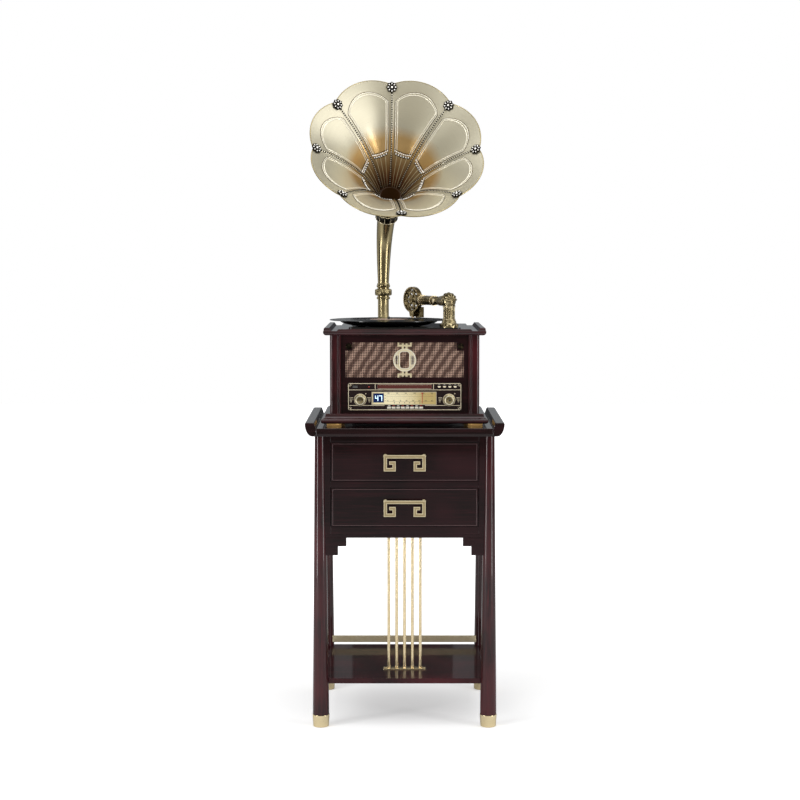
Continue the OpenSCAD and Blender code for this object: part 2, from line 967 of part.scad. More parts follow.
module deck_plate() {
    hw = post_hw - 46;
    y0 = player_y - post_hd - board_over_y + 36;
    y1 = player_y + post_hd + board_over_y - 44;
    r = 10;
    color(black_gloss)
        difference() {
            union() {
                translate([0, 0, deck_z])
                    linear_extrude(deck_t)
                        union() {
                            translate([-hw, y0 + r])
                                square([2 * hw, y1 - y0 - 2 * r]);
                            translate([-hw + r, y0])
                                square([2 * (hw - r), y1 - y0]);
                            for (sx = [-1, 1], y = [y0 + r, y1 - r])
                                translate([sx * (hw - r), y])
                                    circle(r);
                        }
                translate([spin_x, spin_y, board_z + 3])
                    cylinder(h = board_t, r = bearing_r + 4);
            }
            translate([spin_x, spin_y, board_z])
                cylinder(h = board_t + deck_t + 1, r = bearing_r + shaft_gap);
            translate([pulley_x, pulley_y, deck_z - 1])
                cylinder(h = deck_t + 2, r = 5);
        }
}

module platter() {
    under = platter_top - 4.5;
    foot = platter_r - 28;
    section = [
        [0, board_z + 5], [bearing_r, board_z + 5], [bearing_r, plate_z + 0.7], [12, plate_z + 0.7],
        [12, under], [drive_r - 3, under], [drive_r - 3, plate_z + 2.8], [drive_r, plate_z + 2.8],
        [drive_r, under], [foot - 4.5, under], [foot - 3.5, platter_lo], [foot, platter_lo],
        [foot + 12, platter_lo + 2], [foot + 21, platter_lo + 5], [foot + 26.5, platter_lo + 8.5],
        [platter_r, platter_top - 1.5],
        [platter_r - 1, platter_top], [spindle_r, platter_top], [spindle_r, platter_top + 7],
        [spindle_r - 1.2, platter_top + 8.5], [0, platter_top + 8.5]
    ];
    color(black_gloss)
        translate([spin_x, spin_y, 0])
            rotate_extrude()
                polygon(section);
}

module record() {
    r = record_d / 2;
    hole = spindle_r + 0.1;
    color([0.05, 0.05, 0.05])
        translate([spin_x, spin_y, platter_top])
            rotate_extrude()
                polygon([
                    [hole, 0], [r, 0], [r, record_t - 0.3], [r - 3, record_t], [51, record_t],
                    [50, record_t + 0.3], [hole, record_t + 0.3]
                ]);
}

module motor() {
    r = 18;
    h = 26;
    color(steel)
        translate([pulley_x, pulley_y, board_z - h])
            difference() {
                rotate_extrude()
                    polygon([[0, 0], [r - 2, 0], [r, 2], [r, h - 3], [r + 5, h - 3], [r + 5, h], [0, h]]);
                translate([0, 0, 6])
                    cylinder(h = h, r = motor_shaft_r + shaft_gap);
            }
}

module motor_pulley() {
    z0 = plate_z + 2.8;
    z1 = platter_top - 4.8;
    lip = pulley_r + 1.2;
    section = [
        [0, board_z - 15], [motor_shaft_r, board_z - 15], [motor_shaft_r, z0], [lip, z0], [lip, z0 + 0.9],
        [pulley_r, z0 + 0.9], [pulley_r, z1 - 0.9], [lip, z1 - 0.9], [lip, z1], [0, z1]
    ];
    color(brass)
        translate([pulley_x, pulley_y, 0])
            rotate_extrude()
                polygon(section);
}

// Solid between two rollers and round them, from z0 to z1, the second roller away along X
module belt_solid(big, small, z0, z1) {
    lean = acos((big - small) / pulley_away);
    seat = 0.03;
    points = [
        [(big - seat) * cos(lean), (big - seat) * sin(lean)],
        [pulley_away + (small - seat) * cos(lean), (small - seat) * sin(lean)]
    ];
    translate([0, 0, z0]) {
        cylinder(h = z1 - z0, r = big);
        translate([pulley_away, 0, 0])
            cylinder(h = z1 - z0, r = small);
        linear_extrude(z1 - z0)
            polygon([[0, 0], points[0], points[1], [points[1][0], -points[1][1]], [points[0][0], -points[0][1]]]);
    }
}

module drive_belt() {
    big = drive_r + belt_gap;
    small = pulley_r + belt_gap;
    wide = 3.8;
    color(rubber)
        translate([spin_x, spin_y, plate_z + 4.5])
            rotate([0, 0, pulley_angle])
                difference() {
                    belt_solid(big + belt_t, small + belt_t, 0, wide);
                    belt_solid(big, small, -1, wide + 1);
                }
}

// Turns a piece drawn along X to the tonearm's rest direction
module on_arm() {
    translate([pivot_x, pivot_y, 0])
        rotate([0, 0, arm_angle])
            children();
}

module tonearm_base() {
    flutes = 12;
    foot = 23.5;
    section = [
        [0, plate_z], [foot, plate_z], [foot, plate_z + 5], [foot - 2, plate_z + 8],
        [foot - 5, plate_z + 10], [column_r + 3, plate_z + 14], [column_r + 1, plate_z + 18],
        [column_r, plate_z + 20], [column_r, column_top], [spigot_r + shaft_gap, column_top],
        [spigot_r + shaft_gap, plate_z + 20], [0, plate_z + 20]
    ];
    color(old_brass)
        translate([pivot_x, pivot_y, 0])
            difference() {
                rotate_extrude()
                    polygon(section);
                for (i = [0 : flutes - 1])
                    rotate([0, 0, i * 360 / flutes])
                        translate([column_r + 1.2, 0, plate_z + 21])
                            cylinder(h = column_top - plate_z - 24, r = 2.2, $fn = 24);
            }
}

module tonearm_elbow() {
    low = column_top + run_gap;
    hump = 18.5;
    nose = knuckle_x - arm_r - 1.2;
    tongue_r = arm_r - 2.6;
    color(old_brass)
        on_arm()
            difference() {
                union() {
                    intersection() {
                        union() {
                            translate([3, 0, arm_z + 0.5])
                                sphere(hump);
                            translate([0, 0, arm_z])
                                rotate([0, 90, 0])
                                    cylinder(h = nose, r1 = hump - 1.5, r2 = arm_r + 0.2);
                            translate([0, 0, low])
                                cylinder(h = arm_z - low, r = column_r);
                        }
                        span([-40, -40, low], [80, 40, arm_z + 40]);
                    }
                    translate([0, 0, arm_z])
                        plate_y(-tongue_hw, tongue_hw)
                            union() {
                                translate([nose - 6, -tongue_r])
                                    square([knuckle_x - nose + 6, 2 * tongue_r]);
                                translate([knuckle_x, 0])
                                    circle(tongue_r);
                            }
                    translate([0, 0, plate_z + 24])
                        cylinder(h = low - plate_z - 23, r = spigot_r);
                }
                bar_y(knuckle_x, arm_z, pin_r + shaft_gap, -20, 20);
            }
}

module tonearm_tube() {
    slot_end = knuckle_x + arm_r + 1;
    ear_r = arm_r - 1.2;
    color(old_brass)
        on_arm()
            translate([0, 0, arm_z])
                union() {
                    difference() {
                        intersection() {
                            translate([knuckle_x - ear_r, 0, 0])
                                rotate([0, 90, 0])
                                    cylinder(h = tube_end - knuckle_x + ear_r, r = arm_r);
                            plate_y(-arm_r - 1, arm_r + 1)
                                union() {
                                    translate([knuckle_x, 0])
                                        circle(ear_r);
                                    translate([knuckle_x, -ear_r])
                                        square([slot_end - knuckle_x + 1, 2 * ear_r]);
                                    translate([slot_end, -arm_r - 1])
                                        square([tube_end - slot_end, 2 * arm_r + 2]);
                                }
                        }
                        span([knuckle_x - 20, -fork_hw, -arm_r - 1], [slot_end, fork_hw, arm_r + 1]);
                        translate([slot_end + 4, 0, 0])
                            rotate([0, 90, 0])
                                cylinder(h = arm_len, r = arm_r - 2.8);
                    }
                    bar_y(knuckle_x, 0, pin_r, -arm_r, arm_r);
                    for (sy = [-1, 1])
                        bar_y(knuckle_x, 0, 5.5, min(sy * (arm_r - 2), sy * (arm_r + 1.4)),
                            max(sy * (arm_r - 2), sy * (arm_r + 1.4)));
                }
}

// Openwork face of the soundbox, a hub, forked ribs, leaves and a mid ring
module soundbox_face() {
    ribs = 6;
    rim = soundbox_r - 5;
    mid = soundbox_r * 0.55;
    difference() {
        circle(mid + 1.2);
        circle(mid - 1.2);
    }
    for (i = [0 : ribs - 1])
        rotate(i * 360 / ribs) {
            translate([6, -1.8])
                square([mid - 6, 3.6]);
            translate([mid, 0]) {
                circle(3.4);
                for (fork = [-30, 30])
                    rotate(fork)
                        translate([0, -1.2])
                            square([(rim - mid) * 1.2, 2.4]);
            }
            rotate(180 / ribs)
                translate([mid + 3.5, 0])
                    circle(2.4);
        }
}

module soundbox() {
    half = 6;
    color(old_brass)
        on_arm()
            translate([arm_len, 0, arm_z])
                union() {
                    rotate([0, 0, soundbox_turn]) {
                        plate_y(-half, half)
                            difference() {
                                circle(soundbox_r);
                                circle(soundbox_r - 5.5);
                            }
                        plate_y(-half - 1, half + 2)
                            circle(8);
                        plate_y(half - 5, half - 0.5)
                            soundbox_face();
                        plate_y(-half + 1, half - 1)
                            polygon([
                                [-10, -soundbox_r + 4], [10, -soundbox_r + 4], [6.5, -soundbox_r - 11],
                                [-6.5, -soundbox_r - 11]
                            ]);
                        span([-21, -20, -soundbox_r - 13], [-5, -half + 1, -soundbox_r + 14]);
                    }
                    difference() {
                        translate([-soundbox_r - 7 + joint_gap, 0, 0])
                            rotate([0, 90, 0])
                                cylinder(h = socket_len, r = arm_r + 1);
                        rotate([0, 0, soundbox_turn])
                            plate_y(-half - 20, half + 20)
                                circle(soundbox_r - 2);
                    }
                }
}

module stylus() {
    top = arm_z - soundbox_r - 11 - joint_gap;
    tip = record_top + run_gap + 0.3;
    color([0.85, 0.35, 0.22])
        on_arm()
            translate([arm_len, 0, 0])
                union() {
                    translate([0, 0, tip + 2.2])
                        cylinder(h = top - tip - 2.2, r = 3.6);
                    translate([0, 0, tip])
                        cylinder(h = 2.3, r1 = 0.4, r2 = 2.6);
                }
}

module horn_socket() {
    flutes = 12;
    collar_r = 22.5;
    ring_r = neck_r + 3.2;
    low = nut_z + 10;
    high = nut_z + 26.5;
    section = [
        [horn_bore_r - 2, deck_z], [20, deck_z], [20, deck_z + 3], [neck_r + 2.4, deck_z + 6],
        [neck_r, deck_z + 9], [neck_r, nut_z], [ring_r - 0.8, nut_z], [ring_r, nut_z + 1.2],
        [ring_r, nut_z + 4.2], [ring_r - 0.8, nut_z + 5.4], [neck_r + 1, nut_z + 6],
        [neck_r + 1, low - 1], [collar_r - 2, low], [collar_r, low + 2.5], [collar_r, high - 2.5],
        [collar_r - 2, high], [neck_r + 1, high + 1], [neck_r + 1, socket_top - 6],
        [ring_r, socket_top - 5], [ring_r, socket_top - 1], [ring_r - 1, socket_top],
        [horn_bore_r + shaft_gap, socket_top], [horn_bore_r + shaft_gap, nut_z],
        [horn_bore_r - 2, nut_z]
    ];
    color(brass)
        translate([horn_x, horn_y, 0])
            difference() {
                rotate_extrude()
                    polygon(section);
                for (i = [0 : flutes - 1])
                    rotate([0, 0, i * 360 / flutes])
                        translate([collar_r + 1.4, 0, low - 1])
                            cylinder(h = high - low + 2, r = 2.6, $fn = 24);
            }
}

// Turns a piece drawn in the horn's own plane, forward is -Y
module on_horn() {
    translate([horn_x, horn_y, 0])
        rotate([0, 0, horn_yaw])
            children();
}

// Neck stations, [forward, height, lean, outer radius, sideways], by the run s along the neck
neck_turns = 12;
neck_len = bend_z - neck_z + bend_r * horn_tilt * PI / 180 + neck_reach;
function neck_share(s) = min(1, s / neck_len);
function neck_grow(s) = neck_r + (throat_r - lap_gap - neck_r) * pow(neck_share(s), 1.05);
function neck_sway(s) = neck_side * pow(neck_share(s), 1.85);
function bend_run(a) = bend_z - neck_z + bend_r * a * PI / 180;
function bend_station(a) = [
    bend_r * (1 - cos(a)), bend_z + bend_r * sin(a), a, neck_grow(bend_run(a)), neck_sway(bend_run(a))
];
neck_path = concat(
    [for (z = [neck_z, (neck_z + bend_z) / 2]) [0, z, 0, neck_grow(z - neck_z), neck_sway(z - neck_z)]],
    [for (i = [0 : neck_turns]) bend_station(i * horn_tilt / neck_turns)],
    [for (lap = [0, throat_lap])
        [throat_h + lap * sin(horn_tilt), throat_z + lap * cos(horn_tilt), horn_tilt,
            throat_r - lap_gap, neck_side]]);

// Point of a ring round a station, at radius r and angle a
function ring_point(station, r, a) = [
    station[4] + r * cos(a),
    -station[0] - r * sin(a) * cos(station[2]),
    station[1] - r * sin(a) * sin(station[2])
];

// Faces of a shell made of an inner and an outer grid, rows by cols points each
function shell_faces(rows, cols) = let (o = rows * cols) concat(
    [for (i = [0 : rows - 2], j = [0 : cols - 1]) let (k = (j + 1) % cols)
        each [[i * cols + k, i * cols + j, (i + 1) * cols + j],
            [i * cols + k, (i + 1) * cols + j, (i + 1) * cols + k]]],
    [for (i = [0 : rows - 2], j = [0 : cols - 1]) let (k = (j + 1) % cols)
        each [[o + i * cols + j, o + i * cols + k, o + (i + 1) * cols + k],
            [o + i * cols + j, o + (i + 1) * cols + k, o + (i + 1) * cols + j]]],
    [for (j = [0 : cols - 1]) let (k = (j + 1) % cols)
        each [[j, k, o + k], [j, o + k, o + j]]],
    [for (j = [0 : cols - 1]) let (k = (j + 1) % cols, e = (rows - 1) * cols)
        each [[e + j, o + e + j, o + e + k], [e + j, o + e + k, e + k]]]);

module horn_neck() {
    cols = 28;
    rows = len(neck_path);
    inner = [for (s = neck_path, j = [0 : cols - 1]) ring_point(s, s[3] - neck_wall, j * 360 / cols)];
    outer = [for (s = neck_path, j = [0 : cols - 1]) ring_point(s, s[3], j * 360 / cols)];
    collar_turn = 37.5;
    collar_r = 31.5;
    collar_at = bend_station(collar_turn);
    clear_r = collar_at[3] + 0.5;
    spigot_low = nut_z + 6;
    spigot_in = horn_bore_r - 2;
    color(pale_brass)
        on_horn() {
            polyhedron(concat(inner, outer), shell_faces(rows, cols));
            rotate_extrude()
                polygon([
                    [spigot_in, spigot_low], [horn_bore_r, spigot_low],
                    [horn_bore_r, socket_top + run_gap], [neck_r + 2, socket_top + run_gap],
                    [neck_r + 2, neck_z - 2], [neck_r + 0.6, neck_z - joint_gap],
                    [spigot_in, neck_z - joint_gap]
                ]);
        }
    color(old_brass)
        on_horn()
            translate([collar_at[4], -collar_at[0], collar_at[1]])
                rotate([collar_turn, 0, 0])
                    difference() {
                        rotate_extrude()
                            polygon([
                                [clear_r, -13], [clear_r + 3, -13], [collar_r - 2, -4], [collar_r, 4],
                                [collar_r, 11], [collar_r - 2.4, 12], [clear_r, 0]
                            ]);
                        for (i = [0 : 15])
                            rotate([0, 0, i * 22.5])
                                translate([collar_r + 1.2, 0, -5])
                                    cylinder(h = 22, r = 2.8, $fn = 24);
                    }
}

// Bell
flare_len = bell_depth / ln((mouth_r + flare_dip) / (throat_r + flare_dip));
step_angle = 360 / petals;
petal_half = step_angle / 2;
petal_centre = (pow(mouth_r + petal_out, 2) - pow(mouth_r, 2))
    / (2 * (mouth_r + petal_out - mouth_r * cos(petal_half)));
petal_r = mouth_r + petal_out - petal_centre;
petal_turns = [-1, -0.965, -0.92, -0.71, -0.46, -0.22, 0, 0.22, 0.46, 0.71, 0.92, 0.965];
bell_shares = [0, 0.02, 0.06, 0.11, 0.17, 0.24, 0.32, 0.41, 0.51, 0.62, 0.74, 0.87, 1];
bell_rows = [for (t = bell_shares) t * bell_depth];

// Reach of the rim at turn f away from a petal's middle
function rim_reach(f) = petal_centre * cos(f) + sqrt(pow(petal_r, 2) - pow(petal_centre * sin(f), 2));
function flare(d) = (mouth_r + flare_dip) * exp(-d / flare_len) - flare_dip;
function petal_fade(d) = pow(max(0, 1 - d / 62), 2);
function ridge_fade(d) = min(1, max(0, (d - 12) / 14)) * min(1, max(0, (bell_depth - 12 - d) / 40));
function is_seam(f) = abs(f) > petal_half * 0.94 ? 1 : 0;
function seam_share(f) = abs(f) > petal_half * 0.99 ? 1 : 0.7;
function bell_r(d, f) = flare(d) + (rim_reach(f) - mouth_r) * petal_fade(d)
    + bow * sin(180 * d / bell_depth) * cos(90 * f / petal_half);
// Slope of the wall, as the share of its thickness that goes outward and backward
function wall_turn(d) = atan((mouth_r + flare_dip) * exp(-d / flare_len) / flare_len);
function ridge_at(d, f) = ridge * ridge_fade(d) * is_seam(f) * seam_share(f);
function bell_point(d, f, turn, out) = let (
    lean = wall_turn(d),
    r = bell_r(d, f) + out * cos(lean) - (out == 0 ? ridge_at(d, f) : 0),
    lift = petal_lift * petal_fade(d) * (rim_reach(f) - mouth_r) / petal_out
) [r * cos(turn), r * sin(turn), lift - d - out * sin(lean)];
function bell_grid(out) = [
    for (d = bell_rows, p = [0 : petals - 1], t = petal_turns)
        bell_point(d, t * petal_half, (p + 0.5) * step_angle + t * petal_half, out)
];

// Turns a piece drawn at the mouth, looking out along Z, into its place
module at_mouth() {
    on_horn()
        translate([neck_side, -mouth_h, mouth_z])
            rotate([horn_tilt, 0, 0])
                children();
}

module horn_bell() {
    color(pale_brass)
        at_mouth()
            polyhedron(concat(bell_grid(0), bell_grid(bell_wall)),
                shell_faces(len(bell_rows), petals * len(petal_turns)));
}

module horn_rosettes() {
    depth = 4;
    lift = 0.9;
    lean = 90 - wall_turn(depth);
    color(old_brass)
        at_mouth()
            for (i = [0 : petals - 1])
                rotate([0, 0, i * step_angle])
                    translate([flare(depth), 0, -depth])
                        rotate([0, -lean, 0])
                            translate([0, 0, lift]) {
                                linear_extrude(3.5)
                                    union() {
                                        circle(8);
                                        for (k = [0 : 7])
                                            rotate(k * 45)
                                                translate([8.2, 0])
                                                    circle(4.2);
                                    }
                                translate([0, 0, 2])
                                    intersection() {
                                        sphere(6);
                                        cylinder(h = 7, r = 7);
                                    }
                            }
}

stand_top();
stand_legs();
leg_ferrules();
case_panels();
case_frame();
front_apron();
lower_shelf();
shelf_rail();
harp_rods();
drawer_front(upper_z);  // upper_drawer_front
drawer_box(upper_z);  // upper_drawer_box
drawer_pull(upper_z);  // upper_drawer_pull
drawer_front(lower_z);  // lower_drawer_front
drawer_box(lower_z);  // lower_drawer_box
drawer_pull(lower_z);  // lower_drawer_pull
player_feet();
base_moulding();
player_panels();
corner_posts();
back_panel();
front_panel();
grille_cloth();
grille_ornament();
fascia();
dial_plate();
display_window();
dial_pointer();
disc_tray();
control_knob(-knob_x);  // volume_knob
control_knob(knob_x);  // tuning_knob
top_key(1);  // top_key_1
top_key(2);  // top_key_2
top_key(3);  // top_key_3
top_key(4);  // top_key_4
preset(1);  // preset_1
preset(2);  // preset_2
preset(3);  // preset_3
preset(4);  // preset_4
preset(5);  // preset_5
preset(6);  // preset_6
preset(7);  // preset_7
preset(8);  // preset_8
speakers();
electronics();
top_board();
deck_plate();
platter();
record();
motor();
motor_pulley();
drive_belt();
tonearm_base();
tonearm_elbow();
tonearm_tube();
soundbox();
stylus();
horn_socket();
horn_neck();
horn_bell();
horn_rosettes();
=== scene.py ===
"""Record player with a petal horn on a drawer stand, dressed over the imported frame.

Sizes in the classes are millimetres in the frame of the part: X to the right, Y to the back, Z up,
floor at Z 0. A mesh is turned to metres when its piece is made.
"""

from __future__ import annotations

import json
import logging
import math
from collections.abc import Callable, Sequence
from dataclasses import dataclass, field
from enum import Enum

import bmesh
import bpy
from mathutils import Matrix, Vector

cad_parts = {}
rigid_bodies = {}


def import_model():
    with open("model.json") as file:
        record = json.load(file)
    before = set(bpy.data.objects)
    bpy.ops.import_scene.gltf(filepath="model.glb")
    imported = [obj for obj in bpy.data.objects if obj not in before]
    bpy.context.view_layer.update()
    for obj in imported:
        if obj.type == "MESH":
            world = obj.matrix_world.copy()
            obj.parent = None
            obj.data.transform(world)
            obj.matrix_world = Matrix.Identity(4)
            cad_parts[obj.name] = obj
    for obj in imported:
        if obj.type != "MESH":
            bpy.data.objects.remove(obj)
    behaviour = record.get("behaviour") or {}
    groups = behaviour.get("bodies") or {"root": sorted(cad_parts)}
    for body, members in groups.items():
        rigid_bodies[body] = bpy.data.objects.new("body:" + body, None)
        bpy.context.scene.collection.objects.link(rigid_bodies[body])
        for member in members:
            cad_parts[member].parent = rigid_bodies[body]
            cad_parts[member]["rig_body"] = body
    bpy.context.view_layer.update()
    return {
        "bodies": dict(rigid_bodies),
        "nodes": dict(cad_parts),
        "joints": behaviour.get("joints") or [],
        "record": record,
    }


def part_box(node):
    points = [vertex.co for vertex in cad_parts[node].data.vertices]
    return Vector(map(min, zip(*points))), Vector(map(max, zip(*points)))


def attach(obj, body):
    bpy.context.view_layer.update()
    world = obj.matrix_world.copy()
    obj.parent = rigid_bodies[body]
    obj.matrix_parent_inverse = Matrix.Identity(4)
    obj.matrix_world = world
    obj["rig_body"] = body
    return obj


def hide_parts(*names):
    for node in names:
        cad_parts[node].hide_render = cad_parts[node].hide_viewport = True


LOG = logging.getLogger("record_player")
MM = 0.001
MERGE = 2e-6  # metres: points nearer than this are one
SHARP, ROUND = 32.0, 60.0  # degrees of bend past which an edge stays sharp, on plain and on round pieces
WAVE_SCALE = 0.3183  # scale at which a wave texture repeats about once in a unit
Point = tuple[float, float, float]
Flat = tuple[float, float]
Tree, Node, Socket = bpy.types.NodeTree, bpy.types.Node, bpy.types.NodeSocket


class Grain(Enum):
    """Direction that the wood's grain runs in, with its share of stretch on each axis."""

    ACROSS = (26.0, 1.0, 1.0)
    DEEP = (1.0, 26.0, 1.0)
    UPRIGHT = (1.0, 1.0, 26.0)


class Facing(Enum):
    """Turn that takes a shape drawn flat, looking along Z, to the way it faces."""

    UP = Matrix.Identity(4)
    FRONT = Matrix.Rotation(math.radians(90), 4, "X")
    BACK = Matrix.Rotation(math.radians(180), 4, "Z") @ Matrix.Rotation(math.radians(90), 4, "X")


def linear(code: str) -> tuple[float, float, float, float]:
    """Turns an sRGB hex colour to linear.

    Args:
        code: Six hex digits after a hash mark.

    Returns:
        Red, green, blue and an alpha of 1.
    """
    def channel(value: float) -> float:
        """Linear value of one channel."""
        return value / 12.92 if value <= 0.04045 else ((value + 0.055) / 1.055) ** 2.4

    red, green, blue = (int(code[i:i + 2], 16) / 255 for i in (1, 3, 5))
    return channel(red), channel(green), channel(blue), 1.0


def add_node(tree: Tree, kind: str, inputs: dict | None = None, stops: Sequence[tuple[float, str]] = (),
             **settings) -> Node:
    """Adds a node with its settings, values and links.

    Args:
        tree: Tree that gets the node.
        kind: Type name of the node.
        inputs: Socket name or number to a value, or to the socket that it is linked from.
        stops: Place and hex colour of each stop of a colour ramp, in order.
        **settings: Properties of the node.

    Returns:
        The new node.
    """
    node = tree.nodes.new(kind)
    for name, value in settings.items():
        setattr(node, name, value)
    for key, value in (inputs or {}).items():
        if isinstance(value, Socket):
            tree.links.new(value, node.inputs[key])
        else:
            node.inputs[key].default_value = value
    if stops:
        elements = node.color_ramp.elements
        while len(elements) < len(stops):
            elements.new(0.5)
        for element, (place, code) in zip(elements, stops):
            element.position = place
            element.color = linear(code)
    return node


def in_millimetres(tree: Tree, size: Point, turn: Point = (0.0, 0.0, 0.0), source: str = "Object",
                   middle: Point = (0.0, 0.0, 0.0)) -> Socket:
    """Coordinates in which one unit is a real size.

    Args:
        tree: Tree of the material.
        size: Size of one unit on each axis, in millimetres.
        turn: Turn of the pattern in degrees, made before the scale.
        source: Output of Texture Coordinate.
        middle: Point that becomes the pattern's zero, in millimetres.

    Returns:
        The vector socket.
    """
    vector = add_node(tree, "ShaderNodeTexCoord").outputs[source]
    for socket, values in (("Location", [-v * MM for v in middle]), ("Rotation", [math.radians(v) for v in turn]),
                           ("Scale", [1 / (v * MM) for v in size])):
        vector = add_node(tree, "ShaderNodeMapping", {0: vector, socket: values}).outputs[0]
    return vector


def clouds(tree: Tree, size: Point, detail: float = 3.0, rough: float = 0.55, distortion: float = 0.0,
           source: str = "Object") -> Socket:
    """Cloudy pattern whose spots have a real size.

    Args:
        tree: Tree of the material.
        size: Size of a spot on each axis, in millimetres.
        detail: How many finer layers it has.
        rough: How strongly the finer layers show.
        distortion: How far the spots are twisted.
        source: Output of Texture Coordinate.

    Returns:
        The pattern's value.
    """
    return add_node(tree, "ShaderNodeTexNoise", {
        "Vector": in_millimetres(tree, size, source=source), "Scale": 1.0, "Detail": detail, "Roughness": rough,
        "Distortion": distortion}).outputs[0]


def rings(tree: Tree, pitch: float, middle: Point, axis: str) -> Socket:
    """Rings with a real pitch.

    Args:
        tree: Tree of the material.
        pitch: Distance from ring to ring in millimetres.
        middle: A point on their axis, in millimetres.
        axis: Letter of their axis.

    Returns:
        The pattern's value.
    """
    return add_node(tree, "ShaderNodeTexWave", {
        "Vector": in_millimetres(tree, (pitch,) * 3, middle=middle), "Scale": WAVE_SCALE,
    }, wave_type="RINGS", rings_direction=axis).outputs["Fac"]


def toned(tree: Tree, value: Socket, span: Flat, shares: Flat, first: Socket | Sequence[float],
          second: Socket | Sequence[float], how: str = "MIX") -> Socket:
    """Mixes two colours by where a value lies in a span.

    Args:
        tree: Tree of the material.
        value: What the mix follows.
        span: Start and end of the span.
        shares: Share of the second colour at its start and end.
        first: First colour, or its socket.
        second: Second colour, or its socket.
        how: Way of mixing.

    Returns:
        The mixed colour.
    """
    share = add_node(tree, "ShaderNodeMapRange", {
        "Value": value, "From Min": span[0], "From Max": span[1], "To Min": shares[0], "To Max": shares[1]})
    return add_node(tree, "ShaderNodeMix", {0: share.outputs[0], 6: first, 7: second}, data_type="RGBA",
                    blend_type=how).outputs[2]


@dataclass(frozen=True)
class Finish:
    """A finish with one colour all over.

    Attributes:
        name: Common name of the material and how its surface was made.
        slot: Slot of the part's record; not used by this script.
        colour: sRGB hex colour.
    """

    name: str
    slot: str
    colour: str
    metallic: float = 0.0
    roughness: float = 0.5
    ior: float = 1.5
    coat: float = 0.0
    coat_roughness: float = 0.04
    glow: float = 0.0
    specular: float = 0.5

    def material(self) -> bpy.types.Material:
        """Makes the material, or finds it where it is made already.

        Returns:
            The material, with its shader set and its pattern linked.
        """
        found = bpy.data.materials.get(self.name)
        if found:
            return found
        made = bpy.data.materials.new(self.name)
        made.use_nodes = True
        tree = made.node_tree
        shader = tree.nodes["Principled BSDF"]
        for socket, value in {
            "Base Color": linear(self.colour), "Metallic": self.metallic, "Roughness": self.roughness,
            "IOR": self.ior, "Coat Weight": self.coat, "Coat Roughness": self.coat_roughness,
            "Emission Strength": self.glow, "Emission Color": linear(self.colour), "Specular IOR Level": self.specular,
        }.items():
            shader.inputs[socket].default_value = value
        made.diffuse_color = linear(self.colour)
        self.pattern(tree, shader)
        return made

    def pattern(self, tree: Tree, shader: Node) -> None:
        """Adds what varies over the surface, here a faint unevenness in spots of 9 mm.

        Args:
            tree: Tree of the material.
            shader: The material's shader.
        """
        self.roughen(tree, shader, clouds(tree, (9.0, 9.0, 9.0)), 0.85, 1.15)

    def roughen(self, tree: Tree, shader: Node, value: Socket, low: float, high: float,
                span: Flat = (0.0, 1.0)) -> None:
        """Lets the roughness follow a value.

        Args:
            tree: Tree of the material.
            shader: The material's shader.
            value: What the roughness follows.
            low: Share of the finish's roughness at the start of the span.
            high: Share of it at the end.
            span: Start and end of the span.
        """
        rough = add_node(tree, "ShaderNodeMapRange", {
            "Value": value, "From Min": span[0], "From Max": span[1], "To Min": self.roughness * low,
            "To Max": self.roughness * high})
        tree.links.new(rough.outputs[0], shader.inputs["Roughness"])

    def emboss(self, tree: Tree, shader: Node, height: Socket, depth: float, strength: float = 1.0) -> None:
        """Links a height to the shader's normal, depth in millimetres."""
        relief = add_node(tree, "ShaderNodeBump", {"Height": height, "Distance": depth * MM, "Strength": strength})
        tree.links.new(relief.outputs[0], shader.inputs["Normal"])


@dataclass(frozen=True)
class Rosewood(Finish):
    """Rosewood under a clear polished lacquer: near black, with red showing where the light goes in."""

    grain: Grain = Grain.ACROSS
    dark: str = "#170e10"
    red: str = "#3c1a20"

    def pattern(self, tree: Tree, shader: Node) -> None:
        """Adds grain streaks about 5 mm wide, drawn out along the grain, over broad warm patches.

        Args:
            tree: Tree of the material.
            shader: The material's shader.
        """
        streak = clouds(tree, tuple(5.0 * v for v in self.grain.value), detail=5.0, rough=0.62, distortion=0.8)
        patch = clouds(tree, (160.0, 160.0, 120.0), detail=1.5)
        wood = add_node(tree, "ShaderNodeValToRGB", {0: streak},
                        [(0.25, self.dark), (0.5, self.colour), (0.78, self.red)]).outputs[0]
        warm = toned(tree, patch, (0.42, 0.72), (0.0, 0.75), wood, linear(self.red))
        tree.links.new(warm, shader.inputs["Base Color"])
        pores = clouds(tree, tuple(1.1 * v for v in self.grain.value), detail=2.0)
        self.emboss(tree, shader, pores, 0.03)


@dataclass(frozen=True)
class Timber(Finish):
    """Plain planed timber, satin: pale and dark growth lines along the grain."""

    grain: Grain = Grain.DEEP
    dark: str = "#8d6d4a"

    def pattern(self, tree: Tree, shader: Node) -> None:
        """Adds growth lines about 4 mm apart.

        Args:
            tree: Tree of the material.
            shader: The material's shader.
        """
        lines = clouds(tree, tuple(4.0 * v for v in self.grain.value), detail=4.0, distortion=0.5)
        wood = add_node(tree, "ShaderNodeValToRGB", {0: lines}, [(0.3, self.dark), (0.65, self.colour)])
        tree.links.new(wood.outputs[0], shader.inputs["Base Color"])
        self.emboss(tree, shader, lines, 0.08)


